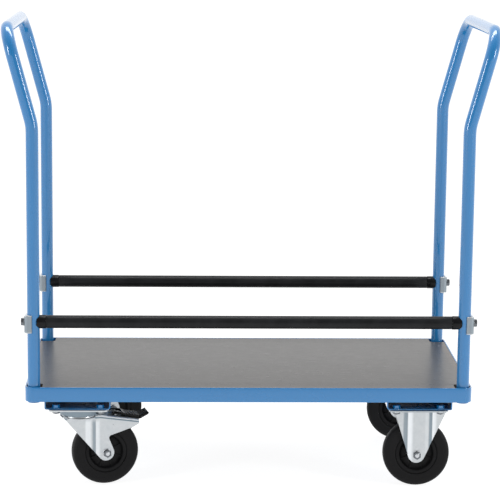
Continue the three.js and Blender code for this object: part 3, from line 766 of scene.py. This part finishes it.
def make_cap(name, place):
    """A flange with a rounded rim, hollowed where it meets the tube."""
    bm = bmesh.new()
    start = SLEEVE_END - UPRIGHT_X
    hug = TUBE_RADIUS + 0.45
    steps = 56
    stations = [(12.2, start + 0.05), (CAP_RADIUS - 1.2, start + 0.05), (CAP_RADIUS - 0.35, start + 0.4),
                (CAP_RADIUS, start + 1.2), (CAP_RADIUS, start + 10), (CAP_RADIUS - 0.15, -12)]
    rings = []
    for radius, along in stations:
        rings.append([
            bm.verts.new((along, radius * math.cos(TAU * k / steps), radius * math.sin(TAU * k / steps)))
            for k in range(steps)
        ])
    for radius in (CAP_RADIUS - 0.4, CAP_RADIUS - 1.3, 12.2, 8, 5.4):
        ring = []
        for k in range(steps):
            y, z = radius * math.cos(TAU * k / steps), radius * math.sin(TAU * k / steps)
            ring.append(bm.verts.new((-max(8, math.sqrt(max(0, hug * hug - y * y))), y, z)))
        rings.append(ring)
    rings.append([
        bm.verts.new((start + 0.05, 5.4 * math.cos(TAU * k / steps), 5.4 * math.sin(TAU * k / steps)))
        for k in range(steps)
    ])
    bridge(bm, rings, close_ends=True)
    piece(f"cap_{name}", bm, "black_plastic", "cart", [f"bar_cap_{name}"], sharp=50, matrix=place)


def make_saddle(name, place):
    """The pressed saddle that hugs the tube and seats the bolt head, with painted shade between two painted
    highlights along its edges.
    """
    hug = TUBE_RADIUS + 0.3
    start = 3
    half = SADDLE_HALF_WIDTH
    grip = math.degrees(math.acos(start / hug))
    corners = [(start, -half), (SADDLE_DEPTH, -half), (SADDLE_DEPTH, half), (start, half)]
    outline = rounded(corners, [0, 8, 8, 0], 8)
    outline += arc((0, 0), hug, grip, -grip, 24)
    bm = painted_light_mesh()
    plate(bm, outline, SADDLE_LOW, SADDLE_HIGH)
    # painted highlights along the top and bottom edges, painted shade over the middle
    set_painted_light(bm, 1)
    for z in (SADDLE_LOW + SADDLE_EDGE, SADDLE_HIGH - SADDLE_EDGE):
        bmesh.ops.bisect_plane(bm, geom=bm.verts[:] + bm.edges[:] + bm.faces[:], dist=1e-4,
                               plane_co=(0, 0, z), plane_no=(0, 0, 1))
    layer = bm.verts.layers.float["painted_light"]
    for vert in bm.verts:
        if SADDLE_LOW + 1 < vert.co.z < SADDLE_HIGH - 1:
            vert[layer] = -0.7
    piece(f"saddle_{name}", bm, "zinc", "cart", [f"bar_saddle_{name}"], bevel=1.6, segments=4, sharp=55,
          matrix=place)


def make_bar_bolt(name, place):
    bm = painted_light_mesh()
    seat = SADDLE_DEPTH + 0.1
    lathe(bm, rounded([(5.2, seat), (9.9, seat), (9.9, seat + 1.6), (5.2, seat + 1.6)], 0.4, 2), 40, "X")
    hexagon(bm, 16.6, seat + 1.7, 6.4, "X")
    lathe(bm, [(0.05, -20), (4.9, -20), (4.9, seat + 2), (0.05, seat + 2)], 24, "X")
    # painted shade over the whole bolt
    set_painted_light(bm, -0.8)
    piece(f"bolt_{name}", bm, "fastener_steel", "cart", [f"bar_bolt_{name}"], sharp=22, matrix=place)


# ---- Wheels ------------------------------------------------------------------------------------


def make_wheel(name, body, place):
    """Tyre and rim about the wheel's own centre, its axis along Y."""
    bm = bmesh.new()
    r, h = WHEEL_RADIUS, TYRE_HALF
    half = [
        (RIM_RADIUS + 0.3, 0), (RIM_RADIUS + 0.3, h - 2.2), (RIM_RADIUS + 0.8, h - 1.4), (RIM_RADIUS + 2, h - 1),
        (56, h - 0.7), (60, h - 0.4), (64, h - 0.15),
        (68, h - 0.05), (r - 9, h - 0.3), (r - 7, h - 1), (r - 5, h - 2.2), (r - 3.2, h - 3.9), (r - 1.8, h - 6),
        (r - 0.8, h - 9), (r - 0.25, h - 13), (r, 0),
    ]
    profile = [(a, -b) for a, b in half[:0:-1]] + half
    profile = profile[::-1]
    lathe(bm, profile, 96, "Y")
    piece(f"wheel_tyre_{name}", bm, "tyre_rubber", body, [f"tyre_{name}"], sharp=50, matrix=place)
    bm = bmesh.new()
    hub = LEG_OUTSIDE - LEG_THICKNESS + 2.2
    face = [
        (6.3, 0), (6.3, hub - 0.6), (6.9, hub), (11.6, hub), (12.4, hub - 0.6), (12.8, hub - 2), (13.6, 17.5),
        (15.5, 13), (18.5, 10.2), (22, 9.2), (31, 8.6), (35, 8.9), (37.5, 10.4), (39.5, 13.4), (40.6, 16.2),
        (41.6, 17.2), (43, 17.6), (47.6, 17.6), (49.2, 17.2), (49.9, 16.2), (RIM_RADIUS, 15), (RIM_RADIUS, 0),
    ]
    profile = face + [(a, -b) for a, b in face[-2:0:-1]]
    lathe(bm, profile, 96, "Y")
    ribs(bm)
    piece(f"wheel_centre_{name}", bm, "rim_plastic", body, [f"wheel_rim_{name}"], sharp=40, matrix=place)


def ribs(bm):
    """Low radial ribs on both faces of the rim's web."""
    count = 8
    half = 1.3
    outline = [(13.2, 4), (40.4, 4), (40.4, 13.5), (36, 11.2), (20, 12), (15, 15.5), (13.2, 19)]
    for side in (-1, 1):
        for k in range(count):
            a = TAU * (k + 0.5) / count
            c, s = math.cos(a), math.sin(a)

            def place(along, high, across):
                return (along * c - across * s, side * high, along * s + across * c)

            plate(bm, outline, -half, half, place)


def make_axle(name, body, place):
    """The axle bolt: head and washer behind, lock nut and rounded bolt end in front."""
    bm = painted_light_mesh()
    seat = PANEL_OUTSIDE + 0.1
    for way in (-1, 1):
        washer = [(6.3, way * seat), (11, way * seat), (11.2, way * (seat + 0.3)), (11.2, way * (seat + 1.2)),
                  (10.9, way * (seat + 1.5)), (6.3, way * (seat + 1.5))]
        lathe(bm, washer, 48, "Y")
        # a faint painted highlight on the washers
        set_painted_light(bm, 0.2)
        hexagon(bm, 17.4, way * (seat + 1.6), way * 4.6, "Y", bore=4 if way < 0 else 0)
        # painted shade on the nut's faces
        set_painted_light(bm, -0.85)
    start = -(seat + 4)
    tip = -(seat + 7.2)
    end = [(0, start), (5.2, start), (5.2, tip + 1.6), (4.9, tip + 0.7), (4.2, tip + 0.25), (2.4, tip), (0, tip)]
    turned(bm, end, 32, "Y")
    # painted highlight on the rounded bolt end
    set_painted_light(bm, 0.7)
    lathe(bm, [(0.05, -seat - 3), (5.9, -seat - 3), (5.9, seat + 3), (0.05, seat + 3)], 32, "Y")
    set_painted_light(bm, 0)
    piece(f"axle_{name}", bm, "fastener_steel", body, [f"axle_bolt_{name}"], sharp=22, matrix=place)


# ---- Castor plates -----------------------------------------------------------------------------


def plate_outline():
    x, y = PLATE_LENGTH / 2, PLATE_WIDTH / 2
    return rounded([(-x, -y), (x, -y), (x, y), (-x, y)], 9, 6)


def plate_places():
    return [(sx * BOLT_X, sy * BOLT_Y) for sx in (-1, 1) for sy in (-1, 1)]


def add_plate(bm):
    """The bolt-on plate, with a short slot at each bolt."""
    holes = []
    for x, y in plate_places():
        slot = arc((x + 2, y), 5.4, -90, 90, 8) + arc((x - 2, y), 5.4, 90, 270, 8)
        holes.append(slot)
    plate(bm, plate_outline(), PLATE_BOTTOM, CASTOR_HEIGHT, holes=holes)


def make_plate_bolts(name, place):
    """Four bolts: heads on the channel's web in the blue paint, a painted reflection of the blue channel round them;
    washers and nuts under the plate.
    """
    web_top = CHANNEL_LOW + CHANNEL_THICKNESS
    heads = bmesh.new()
    nuts = painted_light_mesh()
    for x, y in plate_places():
        spot = (x, y, 0)
        flange = [(4.2, web_top + 0.1), (10, web_top + 0.1), (10, web_top + 1.4), (4.2, web_top + 1.4)]
        lathe(heads, rounded(flange, 0.4, 2), 40, "Z", spot)
        hexagon(heads, 15.6, web_top + 1.5, 6.2, "Z", spot)
        washer = [(5, PLATE_BOTTOM - 1.7), (10.5, PLATE_BOTTOM - 1.7),
                  (10.5, PLATE_BOTTOM - 0.1), (5, PLATE_BOTTOM - 0.1)]
        lathe(nuts, rounded(washer, 0.35, 2), 40, "Z", spot)
        # painted highlight on the washers
        set_painted_light(nuts, 1)
        hexagon(nuts, 15.4, PLATE_BOTTOM - 1.8, -4.6, "Z", spot)
        # painted shade on the nuts
        set_painted_light(nuts, -0.7)
        thread_end(nuts, 4, PLATE_BOTTOM, PLATE_BOTTOM - 8.2, "Z", spot, 1.25)
        # painted shade on the thread ends
        set_painted_light(nuts, -0.8)
    # the heads take the blue paint as a painted reflection of the channel's blue walls
    piece(f"plate_heads_{name}", heads, "blue_paint", "cart", sharp=22, matrix=place)
    piece(f"plate_nuts_{name}", nuts, "fastener_steel", "cart", sharp=22, matrix=place)


# ---- Fixed castor ------------------------------------------------------------------------------


def make_fixed_fork(name, place):
    """A pressed leg on each side, its middle panel raised, its top flared against the plate."""
    flare = 4
    bend_from = PLATE_BOTTOM - flare
    rise = flare * math.pi / 2
    middle, low = -1.5, WHEEL_RADIUS + 1
    inner = tangent_angle(FIXED_LEG_INSIDE + middle, bend_from - low, FIXED_LEG_END)
    outer = tangent_angle(FIXED_LEG_OUTSIDE - middle, bend_from - low, FIXED_LEG_END)
    outline = [(FIXED_LEG_OUTSIDE, bend_from), (FIXED_LEG_OUTSIDE - 1, bend_from + rise),
               (1 - FIXED_LEG_INSIDE, bend_from + rise), (-FIXED_LEG_INSIDE, bend_from)]
    outline += arc((middle, low), FIXED_LEG_END, 180 - inner, 360 + outer, 26)
    step = [(25.5, 1), (26.5, 0.94), (28, 0.72), (31, 0.28), (32.5, 0.06), (33.5, 0)]
    # painted reflections across the leg: dark and light bands at the panel's steps, painted shade and highlights
    painted_light_bands = [(-35, 0), (-31.5, -0.7), (-24.5, -0.8), (-22, 0.8), (-15, 0.7), (-9, 0), (17, 0), (20, 0.2),
             (25.5, 0.2), (28.5, -0.8), (34.5, -0.9), (36.5, 0.8), (42, 0.6), (47, 0)]

    def painted_light(x, z):
        level = along_table(x, painted_light_bands)
        # painted shade along the top flare, under the plate
        if z > bend_from - 2:
            level = min(level, 0) - 0.25
        return level

    def fold(x, z):
        y = LEG_OUTSIDE + (PANEL_OUTSIDE - LEG_OUTSIDE) * along_table(abs(x - PANEL_MIDDLE), step)
        over = z - bend_from
        if over <= 0:
            return (x, y, z)
        angle = over / flare
        return (x, y + flare * (1 - math.cos(angle)), bend_from + flare * math.sin(angle))

    cuts = [((PANEL_MIDDLE + side * x, 0), (1, 0)) for x, _ in step for side in (-1, 1)]
    cuts += [((x, 0), (1, 0)) for x, _ in painted_light_bands]
    cuts += [((0, bend_from + rise * k / 6), (0, 1)) for k in range(6)]
    cuts += [((0, z), (0, 1)) for z in range(66, 184, 9)]
    cuts += [((0, bend_from - 2.2), (0, 1)), ((0, bend_from - 1.8), (0, 1))]
    bm = painted_light_mesh()
    sheet(bm, outline, cuts, fold, painted_light)
    face_out(bm)
    mirrored_y(bm)
    piece(f"fork_legs_{name}", bm, "zinc", "cart", thickness=LEG_THICKNESS, bevel=0.7, sharp=50, matrix=place)
    bm = painted_light_mesh()
    add_plate(bm)
    # painted shade, a little darker over the plate
    set_painted_light(bm, -0.3)
    piece(f"fork_plate_{name}", bm, "zinc", "cart", [f"fixed_fork_{name}"], bevel=0.8, segments=3, sharp=50,
          matrix=place)


def face_out(bm):
    """Turns a sheet at +Y so that its faces look outwards."""
    bmesh.ops.recalc_face_normals(bm, faces=bm.faces)
    bm.normal_update()
    weight = sum(f.normal.y * f.calc_area() for f in bm.faces)
    if weight < 0:
        bmesh.ops.reverse_faces(bm, faces=bm.faces)


# ---- Swivel castor -----------------------------------------------------------------------------


def web_top(u):
    return WEB_HEIGHT - max(0, u - WEB_START) * WEB_DROP


def make_swivel_plate(name, place):
    """The plate and the race housing pressed under it."""
    bm = bmesh.new()
    add_plate(bm)
    piece(f"swivel_mount_{name}", bm, "zinc", "cart", [f"swivel_plate_{name}"], bevel=0.8, segments=3,
          sharp=50, matrix=place)
    bm = painted_light_mesh()
    housing = [
        (9.8, PLATE_BOTTOM + 0.5), (9.8, PLATE_BOTTOM - 2.6), (30, PLATE_BOTTOM - 2.6), (33, PLATE_BOTTOM - 3.6),
        (35.5, HEAD_TOP + 1), (37, HEAD_TOP + 0.4), (42.6, HEAD_TOP + 0.4), (43.6, HEAD_TOP - 0.6),
        (44.2, HEAD_TOP - 6.4), (44.8, HEAD_TOP - 7), (46, HEAD_TOP - 7), (46.8, HEAD_TOP - 6.2),
        (47.4, HEAD_TOP - 2), (48, HEAD_TOP + 2), (48.4, PLATE_BOTTOM - 2), (49.4, PLATE_BOTTOM + 0.5),
    ]
    lathe(bm, housing[::-1], 72)
    # painted shade on the race housing under the plate
    set_painted_light(bm, -0.9)
    piece(f"race_housing_{name}", bm, "zinc", "cart", sharp=50, matrix=place)
    bm = bmesh.new()
    pin = [(0, 158.2), (7, 158.2), (12.5, 158.6), (15, 159.8), (16, 161.6), (16, 164.6), (15.2, 165.6), (9, 165.7),
           (9, CASTOR_HEIGHT - 1.2), (8.2, CASTOR_HEIGHT - 0.3), (7, CASTOR_HEIGHT), (0, CASTOR_HEIGHT)]
    turned(bm, pin, 40)
    piece(f"king_{name}", bm, "fastener_steel", "cart", [f"kingpin_{name}"], sharp=40, matrix=place)


def make_swivel_fork(name, body, place):
    """One folded sheet: a sloping web, a rounded bend along each side, and a leg down to the axle."""
    bend = 5
    quarter = bend * math.pi / 2
    wide = PANEL_OUTSIDE
    edge_u, edge_z = -42.5, WEB_HEIGHT
    notch = (64.5, 121.5)
    ear_low = (119, 138.5)
    ear_tip = 140
    middle, low = TRAIL - 2.5, WHEEL_RADIUS + 1.5
    start = tangent_angle(middle - edge_u, edge_z - bend - low, SWIVEL_LEG_END)
    end = tangent_angle(notch[0] - middle, notch[1] - low, SWIVEL_LEG_END)
    full = quarter + wide - bend
    slot_near, slot_far, slot_half = 86, 124, 9.5

    def rolled(u, t):
        """The flat pattern's height at t beyond the start of the bend."""
        return web_top(u) - bend + t

    outline = [(edge_u, edge_z - bend)]
    outline += arc((middle, low), SWIVEL_LEG_END, 180 - start, 360 + end, 26)
    outline += rounded([outline[-1], notch, ear_low], [0, 7, 0], 6)[1:]
    outline += [(ear_tip - 12, ear_low[1] + 4), (ear_tip - 3, ear_low[1] + 8.5)]
    outline += [(ear_tip - 0.6, ear_low[1] + 11)]
    outline += [(ear_tip, rolled(ear_tip, 0)), (ear_tip - 0.5, rolled(ear_tip, quarter))]
    outline += [(ear_tip - 1, rolled(ear_tip - 1, full))]
    outline += [(slot_far, rolled(slot_far, full)), (slot_far, rolled(slot_far, full - slot_half))]
    outline += [(slot_near, rolled(slot_near, full - slot_half)), (slot_near, rolled(slot_near, full))]
    outline += [(WEB_START, rolled(WEB_START, full)), (-30, rolled(-30, full)), (-40, rolled(-40, quarter + 8))]
    outline += [(edge_u + 1.5, rolled(edge_u, quarter))]
    step = [(28, 0), (29, 0.06), (30.3, 0.28), (33.7, 0.72), (35, 0.94), (36, 1)]
    # painted reflections: light and dark bands at the leg's steps, and painted shade and a painted highlight along
    # the top bend
    painted_light_bands = [(8, 0), (12, 0.55), (21, 0.55), (25.5, 0), (28.5, -0.65), (33.5, -0.75), (35.5, 0.55), (41, 0.5),
             (46, 0)]
    painted_edge_bands = [(-4.4, 0), (-3.8, -1), (-0.8, -1), (0.2, 1), (quarter, 1), (quarter + 1, -0.8)]

    def painted_light(u, z):
        over = z - rolled(u, 0)
        if over > painted_edge_bands[0][0]:
            return along_table(over, painted_edge_bands)
        return along_table(u, painted_light_bands)

    def side(u):
        return LEG_OUTSIDE + (PANEL_OUTSIDE - LEG_OUTSIDE) * along_table(u, step)

    def fold(u, z):
        over = z - rolled(u, 0)
        if over <= 0:
            return (u, side(u), z)
        if over <= quarter:
            angle = over / bend
            return (u, side(u) - bend * (1 - math.cos(angle)), rolled(u, bend * math.sin(angle)))
        share = (over - quarter) / (wide - bend)
        return (u, (side(u) - bend) * (1 - share), web_top(u))

    cuts = [((u, 0), (1, 0)) for u, _ in step + painted_light_bands]
    cuts += [((u, 0), (1, 0)) for u in range(-40, 140, 10)]
    cuts += [((0, z), (0, 1)) for z in range(66, 160, 10)]
    for t in [t for t, _ in painted_edge_bands] + [quarter * k / 6 for k in range(7)] + [
            quarter + (wide - bend) * k / 3 for k in (1, 2)]:
        through = (WEB_START, rolled(WEB_START, t))
        cuts += [(through, (0, 1)), (through, (WEB_DROP, 1))]
    bm = painted_light_mesh()
    sheet(bm, outline, cuts, fold, painted_light)
    face_out(bm)
    mirrored_y(bm)
    piece(f"swivel_sheet_{name}", bm, "zinc", body, thickness=LEG_THICKNESS, bevel=0.7, sharp=50,
          matrix=place)
    bm = painted_light_mesh()
    for side_y in (-1, 1):
        reach = side_y * (PANEL_OUTSIDE + 0.5)
        turned(bm, [(0, reach - side_y * 1.5), (2, reach - side_y * 1.5), (2, reach - side_y * 0.3),
                    (1.6, reach), (0, reach)], 24, "Y", (77.5, 0, 149))
    # painted shade on the rivets
    set_painted_light(bm, -0.8)
    piece(f"fork_rivets_{name}", bm, "zinc", body, sharp=50, matrix=place)
    bm = painted_light_mesh()
    head = [
        (9.8, 166.8), (30, 166.8), (HEAD_RADIUS - 9, 167), (HEAD_RADIUS - 4.6, 168), (HEAD_RADIUS - 2.4, 169.6),
        (HEAD_RADIUS - 2, 170.8), (HEAD_RADIUS - 3, 171.5), (HEAD_RADIUS - 6, 171.8),
        (HEAD_RADIUS - 6.6, 173), (HEAD_RADIUS - 6.6, HEAD_TOP), (9.8, HEAD_TOP),
    ]
    lathe(bm, head, 72)
    # painted highlight over the swivel head
    set_painted_light(bm, 0.5)
    piece(f"swivel_head_{name}", bm, "zinc", body, [f"swivel_fork_{name}"], sharp=50, matrix=place)
    make_lugs(name, body, place)


def make_lugs(name, body, place):
    """The two lugs that hold the pedal's pin."""
    bm = bmesh.new()
    u, z = PEDAL_PIVOT
    corners = [(u - 9, web_top(u) - 3), (u + 9, web_top(u) - 4), (u + 5.5, z + 5.6), (u - 5.5, z + 5.6)]
    outline = rounded(corners, [0, 0, 5, 5], 5)
    for sy in (-1, 1):
        plate(bm, outline, min(sy * 10, sy * 13), max(sy * 10, sy * 13), side_on)
    piece(f"pedal_lugs_{name}", bm, "zinc", body, bevel=0.5, sharp=40, matrix=place)


def make_brake(name, place):
    """The pedal with its turned-up tip and raised grip bars, and the shoe beneath it."""
    body = f"brake_{name}"
    u, z = PEDAL_PIVOT
    corners = [
        (u - 8, z - 1), (u - 5, web_top(u) + 3), (140, 158), (145, 158.6), (164, 168), (166, 171.5), (163.5, 174),
        (158, 171), (143, 166.5), (112, 171.5), (u + 4, z + 7), (u - 3, z + 7), (u - 7, z + 4),
    ]
    radii = [2, 1, 2, 2, 1.5, 1.5, 1.5, 4, 8, 20, 2, 2, 2]
    outline = rounded(corners, radii, 4)
    bm = bmesh.new()
    bill = [(u + 17, z + 5.2), (u + 17, web_top(u) + 1.2)]
    bill += [(a, b) for a, b in outline if a > u + 17]
    plate(bm, bill, -PEDAL_HALF_WIDTH, PEDAL_HALF_WIDTH, side_on)
    arm = rounded([(u - 8, z - 1), (u - 5, web_top(u) + 3), (u + 19, web_top(u) + 0.4), (u + 19, z + 4.6),
                   (u + 4, z + 7), (u - 3, z + 7), (u - 7, z + 4)], [2, 1, 0, 0, 2, 2, 2], 4)
    for low, high in ((-PEDAL_HALF_WIDTH, -14.2), (14.2, PEDAL_HALF_WIDTH)):
        plate(bm, arm, low, high, side_on)
    piece(f"pedal_{name}", bm, "black_plastic", body, [f"brake_pedal_{name}"], bevel=1.1, segments=3, sharp=35,
          matrix=place)
    bm = bmesh.new()
    for k in range(4):
        a = 112 + 7 * k
        level = 171.3 - (a - 112) * 5 / 31
        bar = rounded([(a - 1.5, level - 1), (a + 1.5, level - 1.3), (a + 1.3, level + 0.9), (a - 1.3, level + 1.2)],
                      [0, 0, 0.6, 0.6], 3)
        plate(bm, bar, -15, 15, side_on)
    frame_bar = [(160.2, 171.6), (163, 173), (162.2, 174.6), (159.4, 173.4)]
    plate(bm, frame_bar, -17, 17, side_on)
    piece(f"pedal_grip_{name}", bm, "black_plastic", body, bevel=0.45, segments=2, matrix=place)
    bm = bmesh.new()
    near = u + 15
    shoe = [(near, 140.8), (near + 11, 137.5), (near + 11, 164.5), (near, 164.5)]
    plate(bm, shoe, -6, 6, side_on)
    piece(f"shoe_{name}", bm, "fastener_steel", body, [f"brake_shoe_{name}"], bevel=0.5, matrix=place)
    bm = bmesh.new()
    half = PEDAL_HALF_WIDTH - 1.5
    pin = [(0, -half), (2.4, -half), (3, -half + 0.7), (3, half - 0.7), (2.4, half), (0, half)]
    turned(bm, pin, 28, "Y")
    piece(f"pin_{name}", bm, "fastener_steel", f"swivel_{name}", [f"pedal_pin_{name}"],
          matrix=place @ Matrix.Translation((u * MM, 0, z * MM)))


# ---- The cart ----------------------------------------------------------------------------------

make_board()
make_rim()
make_channels()
make_handles()
make_side_bars()

for row, sy in ROWS:
    fixed = at(CASTOR_X, sy * CASTOR_Y, 0)
    make_fixed_fork(row, fixed)
    make_plate_bolts(f"{row}_right", fixed)
    wheel = at(CASTOR_X, sy * CASTOR_Y, WHEEL_RADIUS)
    make_wheel(f"{row}_right", f"wheel_{row}_right", wheel)
    make_axle(f"{row}_right", "cart", wheel)

    mount = at(-CASTOR_X, sy * CASTOR_Y, 0)
    make_swivel_plate(row, mount)
    make_plate_bolts(f"{row}_left", mount)
    turning = at(-CASTOR_X, sy * CASTOR_Y, 0, SWIVEL_ANGLE)
    make_swivel_fork(row, f"swivel_{row}", turning)
    make_brake(row, turning)
    wheel = turning @ Matrix.Translation((TRAIL * MM, 0, WHEEL_RADIUS * MM))
    make_wheel(f"{row}_left", f"wheel_{row}_left", wheel)
    make_axle(f"{row}_left", f"swivel_{row}", wheel)


# ---- Stage, light and camera -------------------------------------------------------------------


def make_floor():
    bm = bmesh.new()
    reach = 40
    bmesh.ops.create_grid(bm, x_segments=8, y_segments=8, size=reach)
    mesh = bpy.data.meshes.new("floor")
    bm.to_mesh(mesh)
    bm.free()
    floor = bpy.data.objects.new("floor", mesh)
    bpy.context.scene.collection.objects.link(floor)
    look = Look("floor", Specular_IOR_Level=0.0, Roughness=1.0)
    look.shader.inputs["Emission Color"].default_value = rgb(1, 1, 1)
    look.shader.inputs["Emission Strength"].default_value = 0.89
    look.color(look.blend(look.noise(0.8, 2), rgb(0.26, 0.26, 0.26), rgb(0.28, 0.28, 0.28)))
    floor.data.materials.append(look.material)


def make_world():
    """A white studio, a little darker behind the camera."""
    world = bpy.data.worlds.new("studio")
    bpy.context.scene.world = world
    world.use_nodes = True
    nodes, links = world.node_tree.nodes, world.node_tree.links
    place = nodes.new("ShaderNodeTexCoord")
    split = nodes.new("ShaderNodeSeparateXYZ")
    links.new(place.outputs["Generated"], split.inputs[0])
    ramp = nodes.new("ShaderNodeMapRange")
    ramp.interpolation_type = "SMOOTHSTEP"
    for key, value in {1: -1.0, 2: 0.5, 3: 0.3, 4: 1.05}.items():
        ramp.inputs[key].default_value = value
    links.new(split.outputs[1], ramp.inputs[0])
    links.new(ramp.outputs[0], nodes["Background"].inputs["Strength"])
    nodes["Background"].inputs["Color"].default_value = (1, 1, 1, 1)


def make_light(name, spot, aim, width, height, power):
    light = bpy.data.lights.new(name, "AREA")
    light.shape = "RECTANGLE"
    light.size = width
    light.size_y = height
    light.energy = power
    obj = bpy.data.objects.new(name, light)
    bpy.context.scene.collection.objects.link(obj)
    obj.location = spot
    obj.rotation_euler = (Vector(aim) - Vector(spot)).to_track_quat("-Z", "Y").to_euler()


def make_camera():
    """At the photograph's viewing angle: in front, a little to the left, looking slightly down."""
    camera = bpy.data.cameras.new("camera")
    camera.sensor_width = 36
    camera.lens = 147.73
    camera.clip_end = 100
    obj = bpy.data.objects.new("camera", camera)
    bpy.context.scene.collection.objects.link(obj)
    yaw, pitch, roll = 0.0342, 0.174, 0.0101
    forward = Vector((math.sin(yaw) * math.cos(pitch), math.cos(yaw) * math.cos(pitch), -math.sin(pitch)))
    right = Vector((math.cos(yaw), -math.sin(yaw), 0))
    up = right.cross(forward)
    across = right * math.cos(roll) + up * math.sin(roll)
    above = up * math.cos(roll) - right * math.sin(roll)
    turn = Matrix((across, above, -forward)).transposed().to_4x4()
    obj.matrix_world = Matrix.Translation((-0.163, -4.9823, 1.4104)) @ turn
    bpy.context.scene.camera = obj


make_floor()
make_world()
make_light("overhead", (0, 0.3, 3.1), (0, 0, 0.9), 2.4, 0.7, 45)
make_light("left", (-2.7, -1.9, 1.35), (0, 0, 0.7), 0.45, 1.1, 28)
make_light("right", (2.7, -1.9, 1.35), (0, 0, 0.7), 0.45, 1.1, 30)
make_camera()
bpy.context.scene.view_settings.view_transform = "Standard"
